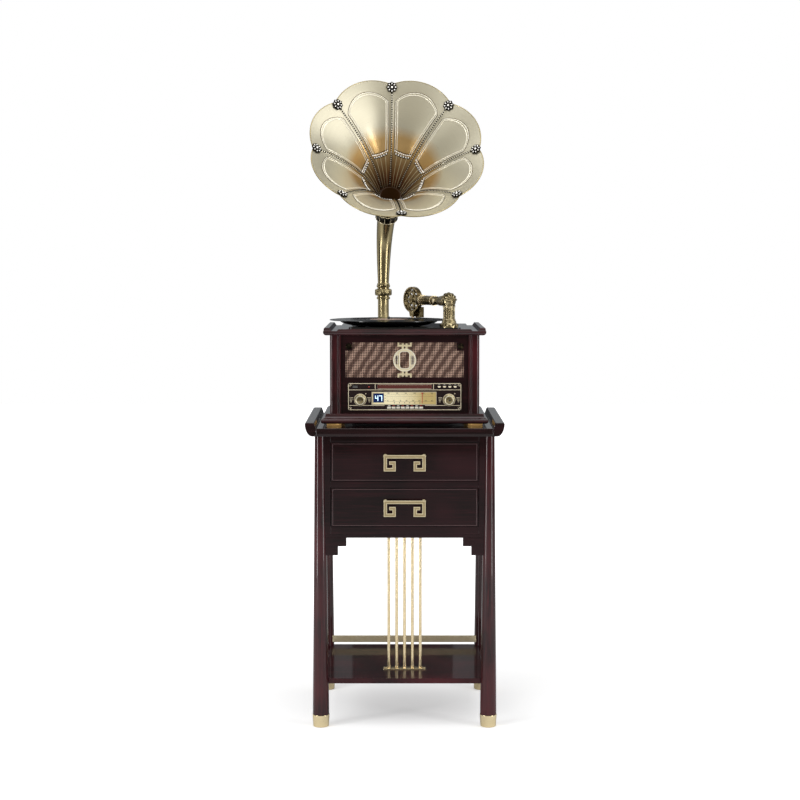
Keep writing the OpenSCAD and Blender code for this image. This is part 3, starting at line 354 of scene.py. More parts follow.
@dataclass(frozen=True)
class TurnedBrass(Finish):
    """Turned and polished brass: a clean yellow shine with faint hair lines and a little tarnish."""

    tarnish: str = "#a5814a"
    hair: Point = (8.0, 8.0, 0.9)

    def pattern(self, tree: Tree, shader: Node) -> None:
        """Adds tarnish in soft clouds, and hair lines that are drawn coarse enough to show.

        Args:
            tree: Tree of the material.
            shader: The material's shader.
        """
        cloud = clouds(tree, (14.0, 14.0, 14.0), detail=4.0, rough=0.6)
        hair = clouds(tree, self.hair, detail=2.0)
        tone = toned(tree, cloud, (0.45, 0.8), (0.0, 0.6), linear(self.colour), linear(self.tarnish))
        tree.links.new(tone, shader.inputs["Base Color"])
        self.roughen(tree, shader, hair, 0.9, 1.15)
        self.emboss(tree, shader, hair, 0.001)


@dataclass(frozen=True)
class AntiqueBrass(Finish):
    """Cast brass, darkened by chemicals and rubbed back: bright on the high points, black in the hollows."""

    hollow: str = "#1d150c"
    rubbed: str = "#b09a6c"
    cell: float = 6.0
    relief: float = 0.07

    def pattern(self, tree: Tree, shader: Node) -> None:
        """Adds dark stain in cells of a few millimetres, with rubbed spots between them.

        Args:
            tree: Tree of the material.
            shader: The material's shader.
        """
        stain = clouds(tree, (self.cell,) * 3, detail=5.0, rough=0.7)
        fine = clouds(tree, (1.8, 1.8, 1.8))
        tone = add_node(tree, "ShaderNodeValToRGB", {0: stain},
                        [(0.28, self.hollow), (0.5, self.colour), (0.72, self.rubbed)])
        tree.links.new(tone.outputs[0], shader.inputs["Base Color"])
        self.roughen(tree, shader, fine, 0.85, 1.2)
        self.emboss(tree, shader, fine, self.relief)


@dataclass(frozen=True)
class PetalBrass(Finish):
    """Pressed sheet brass of the horn, brushed on the lathe: champagne at the rim, golden and then
    brown towards the throat, where it darkens as painted shade. The depth attribute is 0 at the rim."""

    golden: str = "#c2a06a"
    brown: str = "#a8916a"
    throat: str = "#6e4c30"
    streak: str = "#b4ac90"
    crease: str = "#2a1d10"

    def pattern(self, tree: Tree, shader: Node) -> None:
        """Adds the tone by depth, darkening towards the throat as painted shade, brush lines round the horn and a dark
        line in the seams.

        Args:
            tree: Tree of the material.
            shader: The material's shader.
        """
        depth, seam = (add_node(tree, "ShaderNodeAttribute", attribute_name=label).outputs["Fac"]
                       for label in ("depth", "seam"))
        drift = add_node(tree, "ShaderNodeMapRange", {
            "Value": clouds(tree, (45.0, 45.0, 45.0)), "To Min": -0.03, "To Max": 0.03})
        wavering = add_node(tree, "ShaderNodeMath", {0: depth, 1: drift.outputs[0]}, operation="ADD")
        # The last stops darken the petals towards the throat: painted shade.
        tone = add_node(tree, "ShaderNodeValToRGB", {0: wavering.outputs[0]}, [
            (0.0, self.colour), (0.30, self.colour), (0.42, self.golden), (0.555, self.golden),
            (0.575, self.brown), (0.86, self.throat)])
        brush = clouds(tree, (60.0, 1.3, 1.0), rough=0.7, source="UV")
        streaked = toned(tree, brush, (0.0, 1.0), (0.0, 0.30), tone.outputs[0], linear(self.streak), "MULTIPLY")
        lined = add_node(tree, "ShaderNodeMix", {0: seam, 6: streaked, 7: linear(self.crease)}, data_type="RGBA")
        tree.links.new(lined.outputs[2], shader.inputs["Base Color"])
        self.roughen(tree, shader, brush, 0.75, 1.3)
        self.emboss(tree, shader, brush, 0.012)


@dataclass(frozen=True)
class GrilleCloth(Finish):
    """Woven speaker cloth of cream and brown yarn, with the diagonal lights that a twill has."""

    dark: str = "#170a07"
    brown: str = "#452318"

    def pattern(self, tree: Tree, shader: Node) -> None:
        """Adds yarn crossings of 2.9 mm, drawn coarse to show, and diagonal lights 21 mm apart.

        Args:
            tree: Tree of the material.
            shader: The material's shader.
        """
        flat = in_millimetres(tree, (2.9, 2.9, 2.9), turn=(0.0, 45.0, 0.0))
        weave = add_node(tree, "ShaderNodeTexChecker", {"Vector": flat, "Scale": 1.0}).outputs["Fac"]
        slant = in_millimetres(tree, (21.0, 21.0, 21.0), turn=(0.0, -33.0, 0.0))
        band = add_node(tree, "ShaderNodeTexWave", {
            "Vector": slant, "Scale": WAVE_SCALE, "Distortion": 2.2, "Detail": 1.0, "Detail Scale": 2.0,
        }, wave_type="BANDS", bands_direction="X").outputs["Fac"]
        lit = add_node(tree, "ShaderNodeMath", {
            0: band, 1: clouds(tree, (7.0, 7.0, 7.0), detail=2.0)}, operation="MULTIPLY").outputs[0]
        dark, brown, cream = linear(self.dark), linear(self.brown), linear(self.colour)
        pale = toned(tree, lit, (0.08, 0.46), (0.15, 0.82), brown, cream)
        deep = toned(tree, lit, (0.10, 0.60), (0.0, 0.08), dark, brown)
        yarn = add_node(tree, "ShaderNodeMix", {0: weave, 6: deep, 7: pale}, data_type="RGBA")
        tree.links.new(yarn.outputs[2], shader.inputs["Base Color"])
        self.emboss(tree, shader, weave, 0.25)


@dataclass(frozen=True)
class PressedVinyl(Finish):
    """Pressed vinyl: black gloss cut by rings of grooves, with wider gaps between the tracks."""

    middle: Point = (0.0, 0.0, 0.0)

    def pattern(self, tree: Tree, shader: Node) -> None:
        """Adds grooves 1.6 mm apart, far coarser than real ones so that they show, and gaps every 17 mm.

        Args:
            tree: Tree of the material.
            shader: The material's shader.
        """
        grooves, gaps = (rings(tree, pitch, self.middle, "Z") for pitch in (1.6, 17.0))
        self.roughen(tree, shader, gaps, 0.8, 1.7, (0.85, 1.0))
        self.emboss(tree, shader, grooves, 0.05, 0.5)


@dataclass(frozen=True)
class DialPaint(Finish):
    """Printed dial sheet: warm cream, with painted shade at its ends as a lamp behind it would leave it."""

    shade: str = "#a8945c"
    middle: Point = (0.0, 0.0, 0.0)
    half: float = 80.0

    def pattern(self, tree: Tree, shader: Node) -> None:
        """Paints shade on the sheet by the distance from its middle.

        Args:
            tree: Tree of the material.
            shader: The material's shader.
        """
        where = in_millimetres(tree, (self.half, self.half * 2, self.half * 2), middle=self.middle)
        away = add_node(tree, "ShaderNodeVectorMath", {0: where}, operation="LENGTH").outputs["Value"]
        tone = toned(tree, away, (0.45, 1.08), (0.0, 1.0), linear(self.colour), linear(self.shade))
        for socket in ("Base Color", "Emission Color"):
            tree.links.new(tone, shader.inputs[socket])


@dataclass(frozen=True)
class SpunMetal(Finish):
    """Metal faced on a lathe: rings round one middle that catch the light as a bright fan."""

    middle: Point = (0.0, 0.0, 0.0)

    def pattern(self, tree: Tree, shader: Node) -> None:
        """Adds facing rings 0.9 mm apart round the knob's own middle.

        Args:
            tree: Tree of the material.
            shader: The material's shader.
        """
        facing = rings(tree, 0.9, self.middle, "Y")
        self.roughen(tree, shader, facing, 0.7, 1.4)
        self.emboss(tree, shader, facing, 0.03)


# Lacquered rosewood: near black, red where light goes in, and a room mirrored in the coat.
WOOD = {"slot": "rosewood", "colour": "#16090a", "dark": "#0e0606", "red": "#2b1014", "roughness": 0.4, "coat": 1.0,
        "specular": 0.05}
# A redder copy of the wood: painted red glints where the light brings out the wood's own red.
REDDER_AS_LIT = WOOD | {"colour": "#240d10", "dark": "#150809", "red": "#47161c"}
# Full gloss on the stand's top: the sharpest mirror of the wood.
ROSEWOOD_ACROSS = Rosewood("rosewood_lacquered_across", **WOOD)
# Rubbed lacquer on upright fronts: the wood's own dark shows more than the floor's reflection.
ROSEWOOD_FRONT = Rosewood("rosewood_lacquered_front", **(WOOD | {"coat": 0.45}))
# Rubbed lacquer on the shelf: a quieter board in the redder copy, painted as the light shows its red.
ROSEWOOD_LOW = Rosewood("rosewood_lacquered_low_lit_red", **(REDDER_AS_LIT | {"coat": 0.4}))
# Full gloss with the grain going back, on the player's sides.
ROSEWOOD_DEEP = Rosewood("rosewood_lacquered_deep", grain=Grain.DEEP, **WOOD)
# Grooved posts and round tapered legs: the wood's red painted stronger, as the light brings it out, beside a bright
# upright line.
ROSEWOOD_UPRIGHT = Rosewood("rosewood_lacquered_upright_lit_red", grain=Grain.UPRIGHT,
                            **(WOOD | {"colour": "#2a0f12", "red": "#4a171c", "coat": 0.8}))
# Painted highlight on the crest of a bead: a thin line paler than the wood round it.
BEAD_HIGHLIGHT = Finish("rosewood_bead_painted_highlight", "rosewood", "#5e4345", roughness=0.3, coat=1.0)
# Run mouldings and the player's top: gloss broken into lines by the profile, in the redder copy that paints their red
# glints.
ROSEWOOD_MOULDED = Rosewood("rosewood_lacquered_moulded_lit_red", **REDDER_AS_LIT)
# Stained board of backs and inner panels: satin, with hardly a reflection.
DARK_BOARD = Timber("stained_board_satin", "dark_wood", "#38262a", roughness=0.5, dark="#22161a", grain=Grain.UPRIGHT)
# Raw planed beech of the drawer boxes: pale and dull.
PLAIN_TIMBER = Timber("planed_beech", "plain_wood", "#b8976d", roughness=0.6)
# Polished brass: a clean pale yellow shine.
BRASS = TurnedBrass("brass_turned_polished", "brass", "#f2e0b8", metallic=0.85, roughness=0.2, tarnish="#d8bd88")
# Brass feet in the shade of the case: a painted glow gives them a warm orange glint.
FOOT_BRASS_PAINTED_GLINT = TurnedBrass("brass_foot_painted_glint", "brass", "#f6c47a", metallic=0.5, roughness=0.2, tarnish="#c98f48",
                         glow=0.24)
# Drawn rod: soft pale lines along its length.
ROD_BRASS = TurnedBrass("brass_drawn_rod", "brass", "#f0e2be", metallic=0.7, roughness=0.24, tarnish="#dcc898")
# Mirror polished ferrules: bright and dark bands side by side.
FERRULE_BRASS = TurnedBrass("brass_ferrule_polished", "brass", "#f6e4b8", metallic=0.95, roughness=0.12,
                            tarnish="#e9d29c")
# Champagne plating, satin: a flat pale gold without a mirror.
CHAMPAGNE = TurnedBrass("brass_champagne_satin", "pale_brass", "#d2c5a2", metallic=0.25, roughness=0.34,
                        tarnish="#c0b088")
# Etched field of the pulls: the same gold, a step darker than its border.
PULL_FIELD = TurnedBrass("brass_champagne_field", "pale_brass", "#9c8b67", metallic=0.25, roughness=0.4,
                         tarnish="#8e7c58")
# Gilt lines on the front: thin, bright and even.
GILT = TurnedBrass("brass_gilt_line", "pale_brass", "#f3e6c8", metallic=0.25, roughness=0.3, tarnish="#d9c498")
# Tonearm of aged turned brass: a brown gold mirror.
AGED_BRASS = AntiqueBrass("brass_aged_turned", "old_brass", "#8f8262", metallic=1.0, roughness=0.2, hollow="#5c5038",
                          rubbed="#cfc29c", cell=16.0, relief=0.002)
# Cast soundbox: bright ribs over black hollows.
OLD_BRASS = AntiqueBrass("brass_antiqued_cast", "old_brass", "#7a6a48", metallic=1.0, roughness=0.24, rubbed="#d3c49a")
# Neck brushed along its length: two bright lines down a grey gold tube.
NECK_BRASS = TurnedBrass("brass_neck_brushed", "pale_brass", "#a0936f", metallic=1.0, roughness=0.22,
                         tarnish="#85764f", hair=(5.0, 5.0, 60.0))
# Inside of the throat: painted shade in dark brown, and a painted glow that stands in for the little light that comes
# down the horn.
THROAT_SHADE_GLOW = Finish("brass_throat_painted_shade_glow", "old_brass", "#38230f", metallic=0.2, roughness=0.6, glow=0.3)
# Petals: pale at the rim, gold further in, then darkened towards the throat by painted shade.
HORN_BRASS = PetalBrass("brass_petal_brushed", "pale_brass", "#d0cab4", metallic=0.66, roughness=0.3)
# Beads and keys of bright pale brass: nearly white points and lines.
BEAD_BRASS = TurnedBrass("brass_bead_bright", "pale_brass", "#fbf6e6", metallic=0.4, roughness=0.24, tarnish="#e9dfc2")
# Rope edges darkened in their turns: brown with small glints.
ROPE_BRASS = TurnedBrass("brass_rope_dark", "old_brass", "#5c4d30", metallic=1.0, roughness=0.3, tarnish="#241b0f")
# Chased nickel silver: white sparkle against the dark plate, kept bright deep in the horn by a painted glow.
SILVER_GLOWING = TurnedBrass("nickel_silver_chased_painted_glow", "old_brass", "#faf8f2", metallic=0.3, roughness=0.2, tarnish="#d9d4c6",
                     glow=0.22)
# Blackened brass: nearly black, grey where it is rubbed.
BLACKENED = AntiqueBrass("brass_blackened", "old_brass", "#15120d", metallic=1.0, roughness=0.35, hollow="#080604",
                         rubbed="#4a4030")
# Piano black acrylic of deck and platter: a deep clear mirror.
PIANO_BLACK = Finish("acrylic_piano_black", "black_gloss", "#121113", roughness=0.08, coat=0.6)
# Fascia and upper keys: brown black, glossy with soft edges to its reflections.
FASCIA_BLACK = Finish("acrylic_brown_black", "black_gloss", "#1e1213", roughness=0.14, coat=0.5)
# Dial sheet: warm cream with a painted glow, and painted shade towards its ends.
DIAL_CREAM_GLOWING = DialPaint("printed_dial_cream_painted_glow", "cream_dial", "#f2ebcb", roughness=0.45, glow=0.26,
                       middle=(-36.0, 0.0, 815.0), half=104.0)
# Printed ink: flat brown black.
PRINT_BLACK = Finish("printing_ink_black", "black_gloss", "#17120c", roughness=0.6)
# Display glass: deep blue, and its lit segments pale blue.
DISPLAY_BLUE = Finish("display_glass_blue", "display_glass", "#0c2250", roughness=0.1, coat=0.8, glow=0.12)
DISPLAY_LIT = Finish("display_segments_lit", "display_glass", "#cfeaff", roughness=0.3, glow=1.0)
# Lacquered pointer and lamp: small clear red.
POINTER_RED = Finish("pointer_red_lacquer", "red_pointer", "#a8231c", roughness=0.3)
# Moulded ABS disc door: dull red brown under gloss.
DOOR_RED = Finish("abs_red_brown_gloss", "red_brown_gloss", "#542823", roughness=0.22, coat=0.5)
# Twill: cream and brown with slanting lights.
CLOTH = GrilleCloth("cloth_speaker_twill", "grille_cloth", "#cba893", roughness=0.9)
# Pressed vinyl: black with fine rings of light.
VINYL = PressedVinyl("vinyl_pressed_black", "vinyl", "#0c0c0d", roughness=0.2, middle=(-40.0, -8.0, 0.0))
# Coated paper label: its orange paled to dusty rose by a painted reflection of the white room.
LABEL_PAPER_PAINTED_SHEEN = Finish("paper_label_painted_sheen", "vinyl", "#c9ab9c", roughness=0.5, coat=0.3)
# Moulded rubber belt: matt near black.
BELT_RUBBER = Finish("rubber_belt_moulded", "rubber", "#191919", roughness=0.75)
# Pulp cones: matt black that swallows light.
CONE_PAPER = Finish("paper_cone_black", "speaker_black", "#161616", roughness=0.85)
# Zinc plated steel: cool grey with a soft shine.
ZINC = Finish("steel_zinc_plated", "steel", "#a7a9ac", metallic=1.0, roughness=0.35)
# Glass epoxy boards behind the front: dull green.
BOARD_GREEN = Finish("glass_epoxy_board", "steel", "#1c5a36", roughness=0.4)
# Varnished transformer steel: dark grey satin.
CORE_STEEL = Finish("transformer_varnished_steel", "steel", "#5b5e62", metallic=0.6, roughness=0.5)
# Needle holder of orange acrylic: a small warm point under the arm.
PICKUP_ORANGE = Finish("acrylic_orange", "pickup_orange", "#e07a4e", roughness=0.3, coat=0.4)
# Moulded ABS of sockets and key marks: white and red.
SOCKET_WHITE = Finish("abs_socket_white", "steel", "#d9d6cf", roughness=0.4)
SOCKET_RED = Finish("abs_socket_red", "red_pointer", "#9c1c1a", roughness=0.4)


@dataclass
class Shape:
    """Points and faces of a piece in millimetres, gathered part by part."""

    points: list[Point] = field(default_factory=list)
    faces: list[tuple[int, ...]] = field(default_factory=list)
    marks: list[int] = field(default_factory=list)

    def add(self, part: Shape | tuple[Sequence[Point], Sequence[Sequence[int]]], place: Matrix | None = None,
            mark: int = 0) -> Shape:
        """Adds a part.

        Args:
            part: A shape, or its points and faces.
            place: Where the part goes.
            mark: Number of the finish that its faces take.

        Returns:
            This shape.
        """
        points, faces = (part.points, part.faces) if isinstance(part, Shape) else part
        start = len(self.points)
        self.points += [tuple((place @ Vector(p)) if place else p) for p in points]
        self.faces += [tuple(start + i for i in face) for face in faces]
        marks = part.marks if isinstance(part, Shape) and any(part.marks) else [mark] * len(faces)
        self.marks += marks
        return self


def circle(radius: float, height: float = 0.0, steps: int = 60) -> list[Vector]:
    """Points of a circle round Z."""
    return [Vector((radius * math.cos(math.tau * i / steps), radius * math.sin(math.tau * i / steps), height))
            for i in range(steps)]


def lathe(section: Sequence[Flat], sides: int = 48, closed: bool = False) -> Shape:
    """Turns a section round Z.

    Args:
        section: Radius and height of each point; a radius of 0 closes on the axis.
        sides: Number of steps round.
        closed: Whether the last point joins the first.

    Returns:
        The turned shape.
    """
    shape = Shape()
    rows: list[list[int]] = []
    for radius, height in section:
        start = len(shape.points)
        if radius < 1e-6:
            shape.points.append((0.0, 0.0, height))
            rows.append([start] * sides)
        else:
            shape.points += [tuple(point) for point in circle(radius, height, sides)]
            rows.append(list(range(start, start + sides)))
    pairs = list(zip(rows, rows[1:])) + ([(rows[-1], rows[0])] if closed else [])
    for low, high in pairs:
        for i in range(sides):
            k = (i + 1) % sides
            face = list(dict.fromkeys([low[i], low[k], high[k], high[i]]))
            if len(face) > 2:
                shape.faces.append(tuple(face))
    shape.marks = [0] * len(shape.faces)
    return shape


def grid_faces(rows: int, cols: int, wrap_cols: bool = True, wrap_rows: bool = False) -> list[tuple[int, ...]]:
    """Faces of a grid of points, row after row."""
    return [(r * cols + c, r * cols + (c + 1) % cols, (r + 1) % rows * cols + (c + 1) % cols, (r + 1) % rows * cols + c)
            for r in range(rows if wrap_rows else rows - 1) for c in range(cols if wrap_cols else cols - 1)]


def tube(path: Sequence[Vector], radius: float | Callable[[float], float], sides: int = 8, closed: bool = False,
         squash: float = 1.0) -> Shape:
    """Round bar along a path.

    Args:
        path: Points of its middle line.
        radius: Radius, or a function of the share of the path.
        sides: Number of steps round.
        closed: Whether the path closes.
        squash: Share of the radius across the path's own upward direction.

    Returns:
        The bar, closed at its ends.
    """
    count = len(path)
    grow = radius if callable(radius) else (lambda share: radius)
    ahead = [(path[(i + 1) % count] - path[i - 1]).normalized() if closed or 0 < i < count - 1
             else (path[min(i + 1, count - 1)] - path[max(i - 1, 0)]).normalized() for i in range(count)]
    side = ahead[0].orthogonal().normalized()
    points: list[Point] = []
    for i, middle in enumerate(path):
        side = (side - ahead[i] * side.dot(ahead[i])).normalized()
        other = ahead[i].cross(side) * squash
        r = grow(i / max(1, count - 1))
        points += [tuple(middle + (side * math.cos(math.tau * k / sides) + other * math.sin(math.tau * k / sides)) * r)
                   for k in range(sides)]
    faces = grid_faces(count, sides, True, closed)
    if not closed:
        faces += [tuple(reversed(range(sides))), tuple(range((count - 1) * sides, count * sides))]
    return Shape().add((points, faces))


def hoop(radius: float, height: float, thick: float, steps: int = 60, sides: int = 8) -> Shape:
    """Round bar bent to a ring round Z; thick is the bar's own radius."""
    return tube(circle(radius, height, steps), thick, sides, True)


def shell_faces(inner: int, outer: int, cols: int) -> list[tuple[int, ...]]:
    """Faces of a wall between two grids of points, joined at both ends.

    Args:
        inner: Rows of the first grid.
        outer: Rows of the second grid, whose points follow the first one's.
        cols: Points in a row, which closes on itself.

    Returns:
        The faces.
    """
    start = inner * cols
    faces = grid_faces(inner, cols)
    faces += [tuple(start + i for i in reversed(face)) for face in grid_faces(outer, cols)]
    last_inner, last_outer = start - cols, start + (outer - 1) * cols
    for c in range(cols):
        k = (c + 1) % cols
        faces.append((k, c, start + c, start + k))
        faces.append((last_inner + c, last_inner + k, last_outer + k, last_outer + c))
    return faces


def slab(outline: Sequence[Flat], low: float, high: float) -> Shape:
    """Gives a flat outline a thickness.

    Args:
        outline: Its points in X and Y.
        low: Height of its lower face.
        high: Height of its upper face.

    Returns:
        The slab.
    """
    count = len(outline)
    points = [(x, y, z) for z in (low, high) for x, y in outline]
    faces = [tuple(reversed(range(count))), tuple(range(count, 2 * count))]
    faces += [(i, (i + 1) % count, count + (i + 1) % count, count + i) for i in range(count)]
    return Shape().add((points, faces))


def rectangle(x0: float, y0: float, x1: float, y1: float, corner: float = 0.0, steps: int = 4) -> list[Flat]:
    """Outline of a rectangle, anticlockwise.

    Args:
        x0: Left edge.
        y0: Lower edge.
        x1: Right edge.
        y1: Upper edge.
        corner: Radius of its corners.
        steps: Steps in a rounded corner.

    Returns:
        The points.
    """
    if corner <= 0:
        return [(x0, y0), (x1, y0), (x1, y1), (x0, y1)]
    middles = [(x1 - corner, y0 + corner, -90), (x1 - corner, y1 - corner, 0),
               (x0 + corner, y1 - corner, 90), (x0 + corner, y0 + corner, 180)]
    turns = [(x, y, math.radians(a + 90 * k / steps)) for x, y, a in middles for k in range(steps + 1)]
    return [(x + corner * math.cos(a), y + corner * math.sin(a)) for x, y, a in turns]


def ball(radius: float, squash: float = 1.0, rows: int = 8, sides: int = 12) -> Shape:
    """Ball round the zero point, pressed flat along Z by squash."""
    turns = [math.pi * i / rows for i in range(rows + 1)]
    return lathe([(radius * math.sin(a) if 0 < a < math.pi else 0.0, -radius * squash * math.cos(a)) for a in turns],
                 sides)


def at(x: float, y: float, z: float, facing: Facing = Facing.UP, turn: float = 0.0) -> Matrix:
    """Place at a point, facing a way, turned by degrees round the direction that it faces."""
    return Matrix.Translation((x, y, z)) @ facing.value @ Matrix.Rotation(math.radians(turn), 4, "Z")


SEGMENTS = {
    "a": ((0, 4), (2, 4)), "b": ((2, 4), (2, 2)), "c": ((2, 2), (2, 0)), "d": ((0, 0), (2, 0)),
    "e": ((0, 0), (0, 2)), "f": ((0, 2), (0, 4)), "g": ((0, 2), (2, 2)),
}
DIGITS = {"0": "abcdef", "1": "bc", "2": "abged", "3": "abgcd", "4": "fgbc", "5": "afgcd", "6": "afgedc", "7": "abc",
          "8": "abcdefg", "9": "abcdfg"}


def number(value: int, height: float, line: float) -> Shape:
    """Plain number made of straight strokes, its middle at zero, drawn in X and Y.

    Args:
        value: The number.
        height: Height of a digit.
        line: Width of a stroke.

    Returns:
        The strokes, 0.12 mm thick.
    """
    unit = height / 4
    shape = Shape()
    text = str(value)
    start = -unit * (3.2 * len(text) - 1.2) / 2
    for place, digit in enumerate(text):
        for segment in DIGITS[digit]:
            (x0, y0), (x1, y1) = SEGMENTS[segment]
            left = start + place * 3.2 * unit
            box = rectangle(left + min(x0, x1) * unit - line / 2, (min(y0, y1) - 2) * unit - line / 2,
                            left + max(x0, x1) * unit + line / 2, (max(y0, y1) - 2) * unit + line / 2)
            shape.add(slab(box, 0.0, 0.12))
    return shape


def open_tree(name: str, inputs: Sequence[tuple[str, str, float | int]]) -> tuple[Tree, Node]:
    """Starts a Geometry Nodes tree with a geometry input and named inputs after it.

    Args:
        name: Name of the tree.
        inputs: Name, socket type and first value of each input.

    Returns:
        The tree and its group input node.
    """
    tree = bpy.data.node_groups.new(name, "GeometryNodeTree")
    tree.interface.new_socket("Geometry", in_out="INPUT", socket_type="NodeSocketGeometry")
    for label, kind, value in inputs:
        socket = tree.interface.new_socket(label, in_out="INPUT", socket_type=kind)
        if kind != "NodeSocketMaterial":
            socket.default_value = value
    tree.interface.new_socket("Finish", in_out="INPUT", socket_type="NodeSocketMaterial")
    tree.interface.new_socket("Geometry", in_out="OUTPUT", socket_type="NodeSocketGeometry")
    return tree, tree.nodes.new("NodeGroupInput")


def close_tree(tree: Tree, entry: Node, instances: Socket) -> Tree:
    """Ends a tree in Realize Instances and Set Material.

    Args:
        tree: The tree.
        entry: Its group input node.
        instances: Socket with what the tree has made.

    Returns:
        The tree.
    """
    real = add_node(tree, "GeometryNodeRealizeInstances", {0: instances})
    painted = add_node(tree, "GeometryNodeSetMaterial", {
        "Geometry": real.outputs[0], "Material": entry.outputs["Finish"]})
    add_node(tree, "NodeGroupOutput", {0: painted.outputs[0]})
    return tree


def uneven(tree: Tree, entry: Node, share: str) -> Socket:
    """Random size of each copy, up to 1.

    Args:
        tree: The tree.
        entry: Its group input node, with a Seed.
        share: Name of the input that says how much smaller a copy may be.

    Returns:
        The size.
    """
    least = add_node(tree, "ShaderNodeMath", {0: 1.0, 1: entry.outputs[share]}, operation="SUBTRACT")
    return add_node(tree, "FunctionNodeRandomValue", {
        2: least.outputs[0], 3: 1.0, "Seed": entry.outputs["Seed"]}, data_type="FLOAT").outputs[1]


def beads_on_lines() -> Tree:
    """Tree that strings balls along the lines of a mesh, each a little different in size.

    Returns:
        The tree.
    """
    tree, entry = open_tree("beads_on_lines", [
        ("Pitch", "NodeSocketFloat", 0.003), ("Bead Radius", "NodeSocketFloat", 0.001),
        ("Uneven", "NodeSocketFloat", 0.08), ("Seed", "NodeSocketInt", 7)])
    line = add_node(tree, "GeometryNodeMeshToCurve", {0: entry.outputs["Geometry"]})
    points = add_node(tree, "GeometryNodeResampleCurve", {"Curve": line.outputs[0], "Length": entry.outputs["Pitch"]},
                      mode="LENGTH")
    bead = add_node(tree, "GeometryNodeMeshUVSphere", {
        "Segments": 10, "Rings": 7, "Radius": entry.outputs["Bead Radius"]})
    smooth = add_node(tree, "GeometryNodeSetShadeSmooth", {0: bead.outputs[0]})
    placed = add_node(tree, "GeometryNodeInstanceOnPoints", {
        "Points": points.outputs[0], "Instance": smooth.outputs[0], "Scale": uneven(tree, entry, "Uneven")})
    return close_tree(tree, entry, placed.outputs[0])


def parts_on_ring() -> Tree:
    """Tree that sets copies of a part on a circle round Z, each turned to face outward.

    Returns:
        The tree.
    """
    tree, entry = open_tree("parts_on_ring", [
        ("Count", "NodeSocketInt", 8), ("Ring Radius", "NodeSocketFloat", 0.01),
        ("Size Spread", "NodeSocketFloat", 0.0), ("Seed", "NodeSocketInt", 3)])
    ring = add_node(tree, "GeometryNodeMeshCircle", {
        "Vertices": entry.outputs["Count"], "Radius": entry.outputs["Ring Radius"]})
    index = add_node(tree, "GeometryNodeInputIndex")
    share = add_node(tree, "ShaderNodeMath", {0: index.outputs[0], 1: entry.outputs["Count"]}, operation="DIVIDE")
    angle = add_node(tree, "ShaderNodeMath", {0: share.outputs[0], 1: math.tau}, operation="MULTIPLY")
    turn = add_node(tree, "ShaderNodeCombineXYZ", {"Z": angle.outputs[0]})
    placed = add_node(tree, "GeometryNodeInstanceOnPoints", {
        "Points": ring.outputs[0], "Instance": entry.outputs["Geometry"], "Rotation": turn.outputs[0],
        "Scale": uneven(tree, entry, "Size Spread")})
    return close_tree(tree, entry, placed.outputs[0])


def ticks_in_row() -> Tree:
    """Tree of dial lines along X: a short line at each step and a long one at every fifth.

    Returns:
        The tree.
    """
    tree, entry = open_tree("ticks_in_row", [
        ("Count", "NodeSocketInt", 40), ("Pitch", "NodeSocketFloat", 0.003), ("Line", "NodeSocketFloat", 0.0004),
        ("Short", "NodeSocketFloat", 0.0016), ("Long", "NodeSocketFloat", 0.003),
        ("Thick", "NodeSocketFloat", 0.0001)])
    step = add_node(tree, "ShaderNodeCombineXYZ", {"X": entry.outputs["Pitch"]})
    row = add_node(tree, "GeometryNodeMeshLine", {"Count": entry.outputs["Count"], "Offset": step.outputs[0]})
    size = add_node(tree, "ShaderNodeCombineXYZ", {
        "X": entry.outputs["Line"], "Y": entry.outputs["Thick"], "Z": entry.outputs["Short"]})
    block = add_node(tree, "GeometryNodeMeshCube", {"Size": size.outputs[0]})
    index = add_node(tree, "GeometryNodeInputIndex")
    rest = add_node(tree, "ShaderNodeMath", {0: index.outputs[0], 1: 5.0}, operation="MODULO")
    fifth = add_node(tree, "ShaderNodeMath", {0: rest.outputs[0], 1: 0.5}, operation="LESS_THAN")
    growth = add_node(tree, "ShaderNodeMath", {0: entry.outputs["Long"], 1: entry.outputs["Short"]}, operation="DIVIDE")
    tall = add_node(tree, "ShaderNodeMapRange", {
        "Value": fifth.outputs[0], "To Min": 1.0, "To Max": growth.outputs[0]})
    scale = add_node(tree, "ShaderNodeCombineXYZ", {"X": 1.0, "Y": 1.0, "Z": tall.outputs[0]})
    placed = add_node(tree, "GeometryNodeInstanceOnPoints", {
        "Points": row.outputs[0], "Instance": block.outputs[0], "Scale": scale.outputs[0]})
    return close_tree(tree, entry, placed.outputs[0])


def lines_mesh(paths: Sequence[Sequence[Vector]]) -> bpy.types.Mesh:
    """Makes a mesh of edges only.

    Args:
        paths: Points of each run of edges, in millimetres.

    Returns:
        The mesh, in metres.
    """
    points = [p * MM for path in paths for p in path]
    edges, start = [], 0
    for path in paths:
        edges += [(start + i, start + i + 1) for i in range(len(path) - 1)]
        start += len(path)
    mesh = bpy.data.meshes.new("lines")
    mesh.from_pydata(points, edges, [])
    return mesh


def shape_mesh(name: str, shape: Shape) -> bpy.types.Mesh:
    """Makes a mesh of a shape, its faces outward and its doubles merged.

    Args:
        name: Name of the mesh.
        shape: The shape, in millimetres.

    Returns:
        The mesh, in metres.
    """
    mesh = bpy.data.meshes.new(name)
    mesh.from_pydata([Vector(p) * MM for p in shape.points], [], shape.faces)
    mesh.polygons.foreach_set("material_index", shape.marks)
    work = bmesh.new()
    work.from_mesh(mesh)
    bmesh.ops.remove_doubles(work, verts=work.verts, dist=MERGE)
    bmesh.ops.recalc_face_normals(work, faces=work.faces)
    work.to_mesh(mesh)
    work.free()
    return mesh


